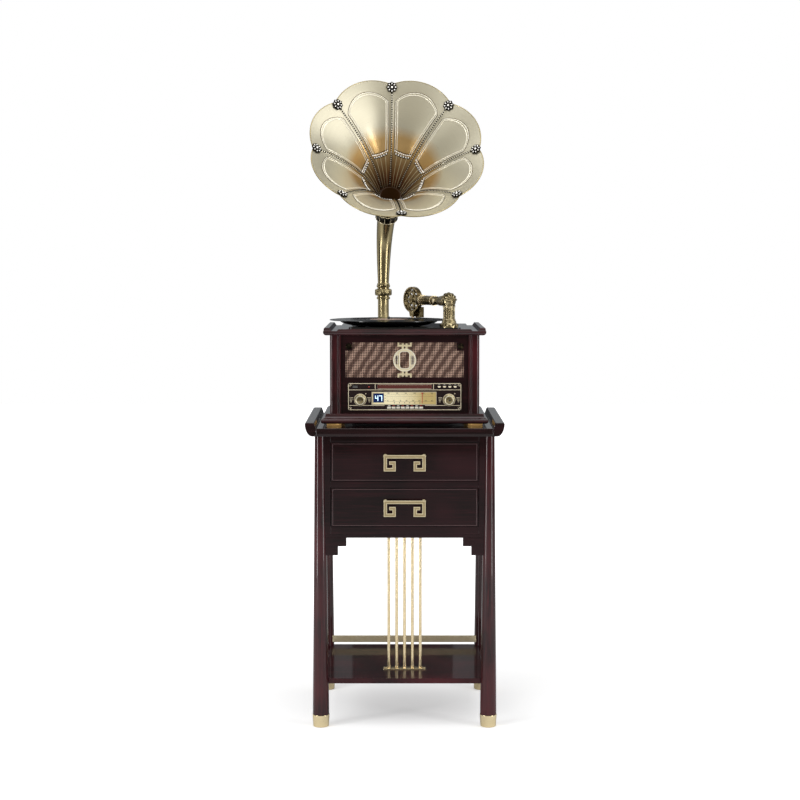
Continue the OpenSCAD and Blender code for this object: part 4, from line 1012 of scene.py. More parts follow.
def grown(maker: Callable[[], Tree], source: bpy.types.Mesh, finish: Finish, **values: float) -> bpy.types.Mesh:
    """Runs a tree on a mesh and keeps the result as a plain mesh.

    Args:
        maker: Function that makes the tree, named as the tree is.
        source: Mesh that goes in.
        finish: Finish of what comes out.
        **values: Inputs by name, with _ for a space.

    Returns:
        The plain mesh.
    """
    tree = bpy.data.node_groups.get(maker.__name__) or maker()
    stand_in = bpy.data.objects.new("stand_in", source)
    bpy.context.scene.collection.objects.link(stand_in)
    pattern = stand_in.modifiers.new("pattern", "NODES")
    pattern.node_group = tree
    given = {name.replace("_", " "): value for name, value in values.items()}
    given["Finish"] = finish.material()
    for item in tree.interface.items_tree:
        if item.in_out == "INPUT" and item.name in given:
            pattern[item.identifier] = given[item.name]
    depsgraph = bpy.context.evaluated_depsgraph_get()
    made = bpy.data.meshes.new_from_object(stand_in.evaluated_get(depsgraph))
    bpy.data.objects.remove(stand_in)
    return made


@dataclass
class Assembly:
    """Pieces that belong together and that report themselves.

    Attributes:
        bodies: CAD bodies by the name of the node that rides on them.
        pieces: Objects made so far.
    """

    bodies: dict[str, str]
    pieces: list[bpy.types.Object] = field(default_factory=list)

    def build(self) -> None:
        """Builds every piece of this assembly."""
        raise NotImplementedError

    def report(self) -> None:
        """Logs each piece with its triangles."""
        for piece in self.pieces:
            count = sum(len(p.vertices) - 2 for p in piece.data.polygons)
            LOG.info("%s %s: %d triangles on %s", type(self).__name__, piece.name, count, piece.get("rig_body"))

    def keep(self, name: str, mesh: bpy.types.Mesh, finishes: Sequence[Finish], body: str,
             sharp: float = SHARP) -> bpy.types.Object:
        """Makes a finished mesh a piece that rides on a body.

        Args:
            name: Name of the piece.
            mesh: Its mesh, in place.
            finishes: Finishes in the order of the faces' marks.
            body: CAD body that it rides on.
            sharp: Edges bent more than this many degrees stay sharp.

        Returns:
            The object.
        """
        mesh.name = name
        marks = [min(face.material_index, len(finishes) - 1) for face in mesh.polygons]
        mesh.materials.clear()
        for finish in finishes:
            mesh.materials.append(finish.material())
        mesh.polygons.foreach_set("material_index", marks)
        mesh.polygons.foreach_set("use_smooth", [True] * len(mesh.polygons))
        mesh.set_sharp_from_angle(angle=math.radians(sharp))
        piece = bpy.data.objects.new(name, mesh)
        bpy.context.scene.collection.objects.link(piece)
        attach(piece, body)
        self.pieces.append(piece)
        return piece

    def make(self, name: str, shape: Shape, finishes: Finish | Sequence[Finish], body: str,
             sharp: float = SHARP) -> bpy.types.Object:
        """Makes a shape a piece; see keep."""
        several = [finishes] if isinstance(finishes, Finish) else finishes
        return self.keep(name, shape_mesh(name, shape), several, body, sharp)

    def dress(self, node: str, finishes: Finish | Sequence[Finish], bevel: float = 0.4,
              choose: Callable[[Vector], int] = lambda middle: 0, sharp: float = SHARP,
              angle: float = 30.0) -> bpy.types.Object:
        """Shows a finished copy of a CAD node, its edges rounded, in place of the node.

        Args:
            node: The CAD node.
            finishes: One finish, or several that choose picks from.
            bevel: Width of the rounded edges in millimetres, 0 for none.
            choose: Gives the number of the finish from a face's middle in millimetres.
            sharp: Edges bent more than this many degrees stay sharp.
            angle: Edges bent more than this many degrees are rounded.

        Returns:
            The copy.
        """
        mesh = bpy.data.objects[node].data.copy()
        work = bmesh.new()
        work.from_mesh(mesh)
        bmesh.ops.remove_doubles(work, verts=work.verts, dist=MERGE)
        bmesh.ops.dissolve_limit(work, angle_limit=math.radians(1.0), verts=work.verts, edges=work.edges)
        bmesh.ops.recalc_face_normals(work, faces=work.faces)
        if bevel:
            edges = [e for e in work.edges if len(e.link_faces) == 2 and e.calc_face_angle(0.0) > math.radians(angle)]
            bmesh.ops.bevel(work, geom=edges, offset=bevel * MM, offset_type="OFFSET", segments=2, profile=0.5,
                            affect="EDGES", clamp_overlap=True)
            bmesh.ops.remove_doubles(work, verts=work.verts, dist=1e-6)
        for face in work.faces:
            face.material_index = choose(face.calc_center_median() / MM)
        work.to_mesh(mesh)
        work.free()
        several = [finishes] if isinstance(finishes, Finish) else finishes
        piece = self.keep(f"{node}_dressed", mesh, several, self.bodies[node], sharp)
        if bevel:
            self.weigh(piece)
        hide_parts(node)
        return piece

    @staticmethod
    def weigh(piece: bpy.types.Object) -> None:
        """Turns the normals of rounded edges to their large faces, so flat faces shade flat.

        Args:
            piece: The piece.
        """
        modifier = piece.modifiers.new("weigh", "WEIGHTED_NORMAL")
        modifier.keep_sharp = True
        depsgraph = bpy.context.evaluated_depsgraph_get()
        weighed = bpy.data.meshes.new_from_object(piece.evaluated_get(depsgraph), preserve_all_data_layers=True,
                                                  depsgraph=depsgraph)
        piece.modifiers.clear()
        name = piece.data.name
        piece.data = weighed
        weighed.name = name


@dataclass
class Stand(Assembly):
    """The drawer stand: top with raised ends, four turned legs, case, apron, shelf and harp rods."""

    screw_x: float = 49.0
    harp_y: float = -90.0
    foot_plate_z: float = 124.0
    top_plate_z: float = 481.0

    def build(self) -> None:
        """Builds the stand's pieces."""
        for node, finish, bevel in (
            ("stand_top", ROSEWOOD_ACROSS, 1.6), ("case_frame", ROSEWOOD_FRONT, 0.7),
            ("front_apron", ROSEWOOD_FRONT, 0.8), ("case_panels", DARK_BOARD, 0.5), ("lower_shelf", ROSEWOOD_LOW, 1.2),
            ("shelf_rail", ROD_BRASS, 0.8), ("stand_legs", ROSEWOOD_UPRIGHT, 1.2),
            ("leg_ferrules", FERRULE_BRASS, 0.7), ("harp_rods", BRASS, 0.5),
        ):
            self.dress(node, finish, bevel)
        self.screws()

    def screws(self) -> None:
        """Screws that hold the harp's foot plate and its top plate."""
        shape = Shape()
        head = lathe([(3.4, 0), (3.4, 0.4), (2.6, 1.1), (0.0, 1.3)], 24)
        for x in (-self.screw_x, self.screw_x):
            shape.add(head, at(x, self.harp_y, self.foot_plate_z))
            shape.add(head, at(x, self.harp_y, self.top_plate_z) @ Matrix.Rotation(math.pi, 4, "X"))
        self.make("harp_screws", shape, BRASS, "cabinet")


@dataclass
class Drawers(Assembly):
    """Both drawers: lacquered front with a painted highlight line along its bead, plain box and key pattern pull."""

    opening_h: float = 95.75
    upper_foot: float = 617.25
    lower_foot: float = 504.5
    pull_h: float = 40.0
    pull_border: float = 1.7
    pull_y: float = -214.4
    bead_inset: Flat = (4.1, 2.1)
    bead_w: float = 0.7

    def build(self) -> None:
        """Builds the pieces of both drawers."""
        for name, foot in (("upper", self.upper_foot), ("lower", self.lower_foot)):
            self.dress(f"{name}_drawer_front", ROSEWOOD_FRONT, 0.9)
            self.dress(f"{name}_drawer_box", PLAIN_TIMBER, 0.6)
            self.dress(f"{name}_drawer_pull", CHAMPAGNE, 0.7)
            self.make(f"{name}_pull_inlay", self.inlay(foot), PULL_FIELD, f"{name}_drawer")
            self.make(f"{name}_bead_line", self.bead_line(f"{name}_drawer_front"), BEAD_HIGHLIGHT, f"{name}_drawer", 30)

    def inlay(self, foot: float) -> Shape:
        """Slightly darker field inside the pull's pale border, 0.1 mm proud of the pull.

        Args:
            foot: Height of the drawer's opening.

        Returns:
            The field.
        """
        low = foot + (self.opening_h - self.pull_h) / 2 - 1
        edge = self.pull_border
        half = [(51.5 - edge, self.pull_h - edge), (51.5 - edge, edge), (22 + edge, edge), (22 + edge, 24.5 - edge),
                (38 - edge, 24.5 - edge), (38 - edge, 16.5 + edge), (30 - edge, 16.5 + edge), (30 - edge, 8 - edge),
                (43.5 + edge, 8 - edge), (43.5 + edge, 32 + edge)]
        outline = half + [(-x, z) for x, z in reversed(half)]
        return Shape().add(slab(outline, 0, 0.12), at(0, self.pull_y, low, Facing.FRONT))

    def bead_line(self, node: str) -> Shape:
        """Painted highlight on the crest of the bead that runs round a drawer front.

        Args:
            node: The drawer front.

        Returns:
            The line.
        """
        low, high = (Vector(corner) * 1000 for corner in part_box(node))
        shape = Shape()
        (side, end), width = self.bead_inset, self.bead_w
        x0, x1, z0, z1 = low.x + side, high.x - side, low.z + end, high.z - end
        for box in ((x0, z1 - width, x1, z1), (x0, z0, x1, z0 + width), (x0, z0 + width, x0 + width, z1 - width),
                    (x1 - width, z0 + width, x1, z1 - width)):
            shape.add(slab(rectangle(*box), 0.0, 0.15), at(0, low.y, 0, Facing.FRONT))
        return shape


@dataclass
class PlayerCase(Assembly):
    """The player's wooden case with its posts, mouldings, panels, brass feet, grille and ornament."""

    middle_y: float = 10.0
    grille_z: float = 913.8
    cloth_half_w: float = 147.2
    cloth_low: float = 870.1
    cloth_high: float = 957.5
    cloth_notch: Flat = (18.0, 20.0)
    cloth_back: float = -144.35
    cloth_front: float = -144.02
    corner_disc: Point = (138.6, -148.0, 947.5)
    sockets_x: tuple[float, ...] = (-120, -104, -88, -72)
    sockets_z: float = 811.5

    def build(self) -> None:
        """Builds the case's pieces."""
        for node, finish, bevel in (
            ("player_feet", FOOT_BRASS_PAINTED_GLINT, 0.5), ("base_moulding", ROSEWOOD_MOULDED, 0.3),
            ("player_panels", ROSEWOOD_DEEP, 0.6), ("corner_posts", ROSEWOOD_UPRIGHT, 0.25),
            ("back_panel", DARK_BOARD, 0.3), ("front_panel", ROSEWOOD_FRONT, 0.6), ("top_board", ROSEWOOD_MOULDED, 0.3),
            ("grille_ornament", CHAMPAGNE, 0.6), ("speakers", CONE_PAPER, 0.0),
        ):
            self.dress(node, finish, bevel)
        self.cloth()
        self.discs()
        self.pearls()
        self.sockets()

    def cloth(self) -> None:
        """Woven cloth stretched over its board behind the grille's opening."""
        side, low, high, notch = self.cloth_half_w, self.cloth_low, self.cloth_high, self.cloth_notch
        columns = [-side, *(-side + notch[0] + i * 4.9 for i in range(53)), side - notch[0], side]
        rows = [low + i * (high - notch[1] - low) / 14 for i in range(15)]
        rows += [high - notch[1] + i * notch[1] / 4 for i in range(1, 5)]
        shape = Shape()
        index: dict[tuple[int, int, int], int] = {}
        for layer, y in enumerate((self.cloth_back, self.cloth_front)):
            for r, z in enumerate(rows):
                for c, x in enumerate(columns):
                    index[layer, r, c] = len(shape.points)
                    shape.points.append((x, y, z))
        cells = {(r, c) for r in range(len(rows) - 1) for c in range(len(columns) - 1)
                 if not (rows[r] >= high - notch[1] - 0.01 and c in (0, len(columns) - 2))}
        for r, c in sorted(cells):
            for layer in (0, 1):
                ring = [(r, c), (r, c + 1), (r + 1, c + 1), (r + 1, c)]
                face = [index[layer, a, b] for a, b in (ring if layer == 0 else ring[::-1])]
                shape.faces.append(tuple(face))
            for (dr, dc), (a, b) in (((-1, 0), ((r, c), (r, c + 1))), ((0, 1), ((r, c + 1), (r + 1, c + 1))),
                                     ((1, 0), ((r + 1, c + 1), (r + 1, c))), ((0, -1), ((r + 1, c), (r, c)))):
                if (r + dr, c + dc) not in cells:
                    shape.faces.append((index[(0, *a)], index[(1, *a)], index[(1, *b)], index[(0, *b)]))
        shape.marks = [0] * len(shape.faces)
        piece = self.make("grille_cloth_weave", shape, CLOTH, "cabinet", sharp=20)

    def discs(self) -> None:
        """Carved discs in the notched top corners of the front panel."""
        shape = Shape()
        button = lathe([(8.0, 0), (8.0, 0.7), (7.2, 1.2), (6.4, 0.8), (5.2, 1.0), (4.4, 1.5), (3.2, 1.0), (2.2, 1.7),
                        (0, 2.1)], 32)
        x, y, z = self.corner_disc
        for side in (-1, 1):
            place = at(side * x, y, z, Facing.FRONT)
            shape.add(button, place)
            for k in range(8):
                turned = place @ Matrix.Rotation(math.tau * k / 8, 4, "Z") @ Matrix.Translation((5.6, 0, 1.0))
                shape.add(ball(1.0, 0.7, 5, 8), turned)
        self.make("grille_corner_discs", shape, BLACKENED, "cabinet", sharp=50)

    def pearls(self) -> None:
        """Pearls along the sides of the ornament's window and raised lines round its ring."""
        y = self.middle_y - 160.0
        sides = [[Vector((side * x, y, self.grille_z + z)) for z in range(-16, 17, 2)]
                 for side in (-1, 1) for x in (18.0, 23.0)]
        beads = grown(beads_on_lines, lines_mesh(sides), BEAD_BRASS, Pitch=0.0034, Bead_Radius=0.0013, Uneven=0.03)
        self.keep("ornament_pearls", beads, [BEAD_BRASS], "cabinet", ROUND)
        place = at(0, y, self.grille_z, Facing.FRONT)
        frame = [Vector((x, z, 0)) for x, z in rectangle(-12.6, -21.4, 12.6, 21.4, 8.0, 6)]
        lines = Shape().add(hoop(27.3, 0, 0.8, 72), place).add(tube(frame, 0.7, 8, True), place)
        self.make("ornament_lines", lines, BEAD_BRASS, "cabinet", ROUND)

    def sockets(self) -> None:
        """Sleeves and pins of the four round sockets in the back panel."""
        shape = Shape()
        sleeve = lathe([(3.4, -3), (3.8, 0), (3.8, 1.5), (2.6, 1.5), (2.4, -2), (0, -2)], 24)
        pin = lathe([(0.8, -2), (0.8, 1.0), (0, 1.2)], 12)
        for k, x in enumerate(self.sockets_x):
            place = at(x, self.middle_y + 156, self.sockets_z, Facing.BACK)
            shape.add(sleeve, place, mark=1 + k % 2).add(pin, place)
        self.make("back_sockets", shape, [ZINC, SOCKET_RED, SOCKET_WHITE], "cabinet")


@dataclass
class RadioFront(Assembly):
    """The radio's front plate with its dial, keys, knobs, disc door and the trims round them."""

    face_y: float = -151.0
    dial_y: float = -149.5
    knobs: tuple[float, ...] = (-110.4, 110.4)
    knob_z: float = 814.9
    edges: tuple[float, float, float, float] = (-139.5, 139.5, 790.3, 855.6)

    def build(self) -> None:
        """Builds the front's pieces."""
        for node, finish, bevel in (
            ("fascia", FASCIA_BLACK, 0.25), ("dial_plate", DIAL_CREAM_GLOWING, 0.0), ("display_window", DISPLAY_BLUE, 0.15),
            ("dial_pointer", POINTER_RED, 0.0), ("disc_tray", DOOR_RED, 0.4),
        ):
            self.dress(node, finish, bevel)
        for x, node in zip(self.knobs, ("volume_knob", "tuning_knob")):
            metal = SpunMetal(f"aluminium_champagne_{node}", "pale_brass", "#c6ba94", metallic=1.0, roughness=0.24,
                              middle=(x, 0.0, self.knob_z))
            self.dress(node, metal, 0.15)
            self.knob_cap(node.split("_")[0], x)
        for i in range(4):
            self.dress(f"top_key_{i + 1}", FASCIA_BLACK, 0.4)
            self.key_facet(i)
        for i in range(8):
            self.dress(f"preset_{i + 1}", BEAD_BRASS, 0.4)
        self.trims()
        self.marks()
        self.electronics()

    def front(self, x: float = 0.0, z: float = 0.0) -> Matrix:
        """Place on the front's face, looking forward, 0.02 mm into it so that no gap shows."""
        return at(x, self.face_y + 0.02, z, Facing.FRONT)

    def bar(self, shape: Shape, x0: float, z0: float, x1: float, z1: float, thick: float = 0.7, y: float | None = None,
            mark: int = 0) -> None:
        """Adds a flat bar, on the face or at another y."""
        place = self.front() if y is None else at(0, y, 0, Facing.FRONT)
        shape.add(slab(rectangle(min(x0, x1), min(z0, z1), max(x0, x1), max(z0, z1)), 0, thick), place, mark)

    def key_facet(self, place: int) -> None:
        """Painted highlight on the face of an upper key: a pale gilt sheet where its facet catches the light.

        Args:
            place: Number of the key from the left, from 0.
        """
        low, high = (Vector(v) * 1000 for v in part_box(f"top_key_{place + 1}"))
        x, z = (low.x + high.x) / 2, (low.z + high.z) / 2
        outline = [(x - 4.2, z + 1.8), (x - 2.4, z - 1.8), (x + 2.4, z - 1.8), (x + 4.2, z + 1.8)]
        shape = Shape().add(slab(outline, 0.0, 0.3), at(0, low.y, 0, Facing.FRONT))
        self.make(f"top_key_facet_{place + 1}", shape, GILT, f"key_{place + 1}", 30)

    def knob_cap(self, body: str, x: float) -> None:
        """Bright ring, a flat black ring painted as shade in the gap round it, and small dark dimple on a knob's face.

        Args:
            body: CAD body of the knob.
            x: Middle of the knob.
        """
        place = at(x, self.face_y - 0.4 - 13.4, self.knob_z, Facing.FRONT)
        shape = Shape().add(hoop(10.3, 0.5, 0.55, 48), place)
        # Flat black ring: painted shade in the gap round the knob's face.
        shape.add(lathe([(11.4, 0.05), (12.4, 0.05)], 48), place, mark=1)
        shape.add(lathe([(8.6, 0), (6.5, 0.9), (3.0, 1.3), (2.6, 1.1)], 48), place, mark=2)
        shape.add(lathe([(2.6, 1.0), (2.2, 0.7), (0, 0.6)], 24), place, mark=1)
        shape.add(slab(rectangle(-0.45, 10.9, 0.45, 12.2), -1.2, 0.6), place, mark=1)
        self.make(f"{body}_knob_face", shape, [BEAD_BRASS, PRINT_BLACK, AGED_BRASS], body)

    def trims(self) -> None:
        """Champagne lines that frame the front and flank the knobs, with the port, lamp and door lines."""
        shape = Shape()
        left, right, low, high = self.edges
        for z in (low, high):
            self.bar(shape, left + 2.4, z - 0.6, right - 2.4, z + 0.6)
        for x in (left, right):
            self.bar(shape, x - 0.6, low + 2.4, x + 0.6, high - 2.4)
        for sx in (-1, 1):
            for z, sz in ((low, 1), (high, -1)):
                for reach, radius in ((3.0, 3.0), (5.4, 1.9)):
                    turns = [math.radians(-80 + 24 * k) for k in range(12)]
                    curl = [Vector((sx * (right - reach + radius * math.cos(a)),
                                    z + sz * (reach - radius * math.sin(a)), 0.4)) for a in turns]
                    shape.add(tube(curl, 0.42, 6), self.front())
        self.bar(shape, left + 1, 839.4, right - 1, 840.4)
        for x in (-73.0, 71.6):
            self.bar(shape, x - 0.6, 841.5, x + 0.6, 854.0)
        self.bar(shape, -137, 800.5, -50, 801.6)
        self.bar(shape, 50.5, 800.5, 137, 801.6)
        for x in self.knobs:
            shape.add(hoop(14.6, 0.3, 0.8, sides=6), self.front(x, self.knob_z))
            for side in (-1, 1):
                for row in range(4):
                    start = 17.4 + 1.2 * row
                    reach = min(9.0 - 1.6 * row, 27.0 - start)
                    z = self.knob_z + 5.4 - 3.4 * row
                    self.bar(shape, x + side * start, z - 0.5, x + side * (start + reach), z + 0.5, 0.5)
            diamond = [(x + 14.0 + u, self.knob_z + 15.5 + v) for u, v in ((-1.5, 0), (0, -1.5), (1.5, 0), (0, 1.5))]
            shape.add(slab(diamond, 0, 0.4), self.front())
        for x0, x1, z0, z1 in ((-81.4, 78.4, 803.0, 803.8), (-81.4, 78.4, 834.0, 834.8), (-81.8, -81.0, 803.0, 834.8),
                               (78.0, 78.8, 803.0, 834.8)):
            self.bar(shape, x0, z0, x1, z1, 0.8)
        self.make("front_trims", shape, GILT, "cabinet", 50)
        port = Shape()
        for low, high in ((845.6, 846.7), (848.6, 849.6)):
            self.bar(port, -129.2, low, -116.8, high, 1.6, self.face_y + 1.9)
        self.bar(port, -128.0, 846.9, -118.0, 848.2, 1.0, self.face_y + 1.9, 1)
        self.make("memory_port", port, [ZINC, PRINT_BLACK], "cabinet")
        lamp = lathe([(1.5, 0), (1.4, 0.5), (0.9, 0.9), (0, 1.0)], 16)
        self.make("front_lamp", Shape().add(lamp, self.front(-88.4, 847.6)), POINTER_RED, "cabinet")
        self.make("door_line", self.door_line(), GILT, "tray")

    def door_line(self) -> Shape:
        """Thin bright lines along the disc door's foot and head.

        Returns:
            Both lines.
        """
        shape = Shape()
        for low in (842.6, 852.4):
            self.bar(shape, -66.0, low, 66.0, low + 0.5, 0.25, self.face_y - 1.0)
        return shape

    def marks(self) -> None:
        """Dial lines, plain numbers, dots and the small marks of the front."""
        place_y = self.dial_y - 0.03
        first = -44.0
        rows = ((827.6, 56, 2.05, 1.5, 2.8), (817.5, 41, 2.8, 1.3, 2.5))
        for number_of, (z, count, pitch, short, tall) in enumerate(rows):
            mesh = grown(ticks_in_row, bpy.data.meshes.new("empty"), PRINT_BLACK, Count=count, Pitch=pitch * MM,
                         Line=0.00038, Short=short * MM, Long=tall * MM, Thick=0.00012)
            mesh.transform(Matrix.Translation((first * MM, place_y * MM, z * MM)))
            self.keep(f"dial_ticks_{number_of + 1}", mesh, [PRINT_BLACK], "cabinet")
        ink = Shape()
        for values, height, line, start, pitch, z in (
            ((88, 92, 96, 100, 104, 108), 3.0, 0.42, -40, 21.4, 831.4),
            ((54, 60, 70, 80, 100, 120, 140, 160), 2.6, 0.4, -42, 15.6, 812.9),
        ):
            for i, value in enumerate(values):
                ink.add(number(value, height, line), at(start + i * pitch, self.dial_y, z, Facing.FRONT))
        self.bar(ink, -45, 822.3, 72, 822.8, 0.12, self.dial_y)
        self.bar(ink, -45, 810.2, 72, 810.6, 0.12, self.dial_y)
        dot = lathe([(1.15, 0), (1.15, 0.12), (0, 0.12)], 16)
        for i in range(6):
            ink.add(dot, at(-25.3 + i * 12.6, self.dial_y, 807.4, Facing.FRONT))
        for i in range(3):
            self.bar(ink, -49.5, 812 + 6.5 * i, -47.2, 813.2 + 6.5 * i, 0.12, self.dial_y)
        for x in (60, 64, 68):
            self.bar(ink, x, 824.2, x + 2.4, 824.8, 0.12, self.dial_y, 1)
        self.make("dial_numbers", ink, [PRINT_BLACK, POINTER_RED], "cabinet")
        lit = Shape().add(number(47, 12.0, 1.7), at(-64.6, self.dial_y - 0.7, 818.9, Facing.FRONT))
        self.make("display_digits", lit, DISPLAY_LIT, "cabinet")
        dashes = Shape()
        for i in range(8):
            x = -38.8 + 11.4 * i
            self.bar(dashes, x - 2.6, 799.6, x + 2.6, 801.0, 0.3, mark=i % 2)
        for i in range(4):
            x = 85.7 + 13.2 * i
            self.bar(dashes, x - 2.2, 852.4, x + 2.2, 853.0, 0.15)
        self.make("key_marks", dashes, [SOCKET_WHITE, SOCKET_RED], "cabinet")

    def electronics(self) -> None:
        """Boards, controls, disc mechanism, transformer and inlet behind the front."""
        def pick(middle: Vector) -> int:
            """Chooses the finish of a face: the key board, the transformer and the inlet, or the rest.

            Args:
                middle: Middle of the face.

            Returns:
                Number of its finish.
            """
            if middle.y < -139.0 and abs(middle.y + 140.6) < 1.5:
                return 1
            transformer = middle.x < -49 and middle.y > 45 and middle.z < 834
            inlet = middle.x > 95 and middle.y > 100
            return 2 if transformer or inlet else 0
        self.dress("electronics", [ZINC, BOARD_GREEN, CORE_STEEL], 0.0, pick)


@dataclass
class Deck(Assembly):
    """Deck plate, platter, record, belt and motor."""

    spindle: Flat = (-40.0, -8.0)
    record_z: float = 1008.0

    def build(self) -> None:
        """Builds the deck's pieces."""
        for node, finish, bevel in (
            ("deck_plate", PIANO_BLACK, 0.5), ("platter", PIANO_BLACK, 0.0), ("record", VINYL, 0.0),
            ("motor", ZINC, 0.0), ("motor_pulley", BRASS, 0.0), ("drive_belt", BELT_RUBBER, 0.0),
        ):
            self.dress(node, finish, bevel)
        # The label's pale rose is a painted reflection over its orange.
        label = lathe([(49.5, 1.9), (49.2, 2.02), (3.9, 2.02), (3.8, 1.9)], 72)
        self.make("record_label", Shape().add(label, at(*self.spindle, self.record_z)), LABEL_PAPER_PAINTED_SHEEN, "turntable")


@dataclass
class Tonearm(Assembly):
    """The ornate tonearm: fluted column, elbow with leaves, arm tube, openwork soundbox and needle holder."""

    pivot: Point = (111.0, -105.0, 1058.0)
    direction: float = 118.0
    length: float = 190.0
    deck_z: float = 993.5

    def build(self) -> None:
        """Builds the tonearm's pieces."""
        for node in ("tonearm_base", "tonearm_elbow", "tonearm_tube"):
            self.dress(node, AGED_BRASS, 0.0, sharp=40)
        self.dress("soundbox", OLD_BRASS, 0.35, sharp=40)
        self.dress("stylus", PICKUP_ORANGE, 0.0)
        self.base_details()
        self.elbow_details()
        self.tube_rings()
        self.disc_details()

    @property
    def axis(self) -> Matrix:
        """Frame of the arm: X along the tube, zero at the pivot."""
        return Matrix.Translation(self.pivot) @ Matrix.Rotation(math.radians(self.direction), 4, "Z")

    @property
    def disc(self) -> Matrix:
        """Frame of the soundbox: its face drawn in X and Y, looking along the arm's -Y."""
        return (self.axis @ Matrix.Translation((self.length, 0, 0)) @ Matrix.Rotation(math.radians(10), 4, "Z")
                @ Facing.FRONT.value)

    def ringed(self, name: str, part: Shape, finish: Finish, count: int, radius: float, place: Matrix, body: str,
               spread_by: float = 0.0) -> None:
        """Makes a piece of copies of a part on a ring.

        Args:
            name: Name of the piece.
            part: The part, at zero.
            finish: Its finish.
            count: Number of copies.
            radius: Radius of the ring in millimetres.
            place: Frame of the ring.
            body: CAD body that it rides on.
            spread_by: Share by which the copies differ in size.
        """
        mesh = grown(parts_on_ring, shape_mesh("part", part), finish, Count=count, Ring_Radius=radius * MM,
                     Size_Spread=spread_by)
        move = place.copy()
        move.translation = place.translation * MM
        mesh.transform(move)
        self.keep(name, mesh, [finish], body, ROUND)

    def base_details(self) -> None:
        """Scallops round the foot and bright rings on the column."""
        middle = Matrix.Translation((self.pivot[0], self.pivot[1], self.deck_z))
        self.ringed("arm_foot_scallops", ball(3.2, 0.8, 6, 10), ROPE_BRASS, 16, 21.0,
                    middle @ Matrix.Translation((0, 0, 5)), "cabinet")
        shape = Shape().add(hoop(15.6, 19.5, 0.9), middle).add(hoop(15.5, 50.6, 0.9), middle)
        self.make("arm_column_rings", shape, BRASS, "cabinet", ROUND)

    def elbow_details(self) -> None:
        """Leaves that lie over the elbow's hump, and a bright ring at its foot."""
        shape = Shape()
        centre = Vector((3.0, 0.0, 0.5))
        for k in range(-3, 4):
            side = math.radians(26 * k)
            path = []
            for i in range(13):
                up = math.radians(168 - 11.5 * i)
                out = 18.8 + 0.9 * math.sin(math.pi * i / 12)
                across = math.sin(up)
                path.append(centre + Vector((math.cos(up), across * math.sin(side), across * math.cos(side))) * out)
            shape.add(tube(path, lambda share: 0.5 + 2.3 * math.sin(math.pi * min(1.0, share * 1.05)) ** 0.8, 8,
                           squash=0.9), self.axis)
        shape.add(hoop(15.3, -10.6, 0.7), self.axis)
        self.make("elbow_leaves", shape, AGED_BRASS, "elbow", ROUND)

    def tube_rings(self) -> None:
        """Turned rings on the arm tube and the round screws of the knuckle."""
        along = self.axis @ Matrix.Rotation(math.radians(90), 4, "Y")
        shape = Shape()
        for x, r, w in ((77.0, 12.2, 0.9), (80.5, 12.1, 0.6), (128.0, 12.2, 0.6), (137.0, 12.3, 1.3),
                        (141.5, 12.2, 0.8)):
            shape.add(hoop(r, x, w), along)
        self.make("arm_rings", shape, BRASS, "arm", ROUND)
        screws = Shape()
        for side, facing in ((-1, Facing.FRONT), (1, Facing.BACK)):
            place = self.axis @ at(57.0, side * 13.1, 0, facing)
            screws.add(lathe([(5.6, -0.5), (5.6, 0.8), (4.8, 1.7), (3.4, 2.0), (0, 2.1)], 32), place)
            screws.add(slab(rectangle(-3.9, -0.5, 3.9, 0.5), 1.6, 2.25), place, mark=1)
        self.make("knuckle_screws", screws, [BRASS, PRINT_BLACK], "arm")

    def disc_details(self) -> None:
        """Beaded rims, curled leaves between the ribs, hub rose and bright edge of the soundbox."""
        rim = Shape()
        for r, z, w in ((32.5, 4.4, 0.7), (32.5, -4.4, 0.7), (28.2, 6.0, 0.8), (28.2, -6.0, 0.8)):
            rim.add(hoop(r, z, w, 96), self.disc)
        self.make("disc_rims", rim, ROPE_BRASS, "arm", ROUND)
        for side in (-1, 1):
            face = self.disc @ Matrix.Translation((0, 0, side * 6.2))
            self.ringed(f"disc_beads_{'front' if side > 0 else 'back'}", ball(1.25, 1.0, 6, 10), BRASS, 44, 30.4, face,
                        "arm", 0.1)
        petal = Shape().add(ball(1.0, 0.55, 6, 12), Matrix.Diagonal((3.0, 1.6, 1.6, 1.0)))
        hub = self.disc @ Matrix.Translation((0, 0, 7.2))
        self.ringed("disc_hub_rose", petal, BRASS, 9, 5.4, hub, "arm")
        middle = Shape().add(lathe([(3.4, 0), (3.2, 1.2), (1.8, 2.2), (0, 2.5)], 24), hub)
        leaf = Shape()
        for k in range(6):
            for fork in (-1, 1):
                steps = [(9.0 + 9.5 * t, math.radians(60 * k + fork * (6 + 30 * t * t)))
                         for t in (i / 9 for i in range(10))]
                curl = [Vector((r * math.cos(a), r * math.sin(a), 0.4)) for r, a in steps]
                leaf.add(tube(curl, lambda share: 1.3 - 0.8 * share, 8))
            spoke = Matrix.Rotation(math.radians(60 * k + 30), 4, "Z")
            leaf.add(ball(2.0, 0.7, 6, 10), spoke @ Matrix.Translation((23.6, 0, 0.4)))
        middle.add(leaf, self.disc @ Matrix.Translation((0, 0, -0.6)))
        self.make("disc_leaves", middle, OLD_BRASS, "arm", ROUND)
        holder = Shape()
        for z, r in ((-43.6, 4.4), (-45.6, 4.0)):
            holder.add(lathe([(2.0, -0.8), (r, -0.6), (r, 0.6), (2.0, 0.8)], 24),
                       self.axis @ Matrix.Translation((self.length, 0, z)))
        self.make("needle_clamp", holder, BRASS, "arm")


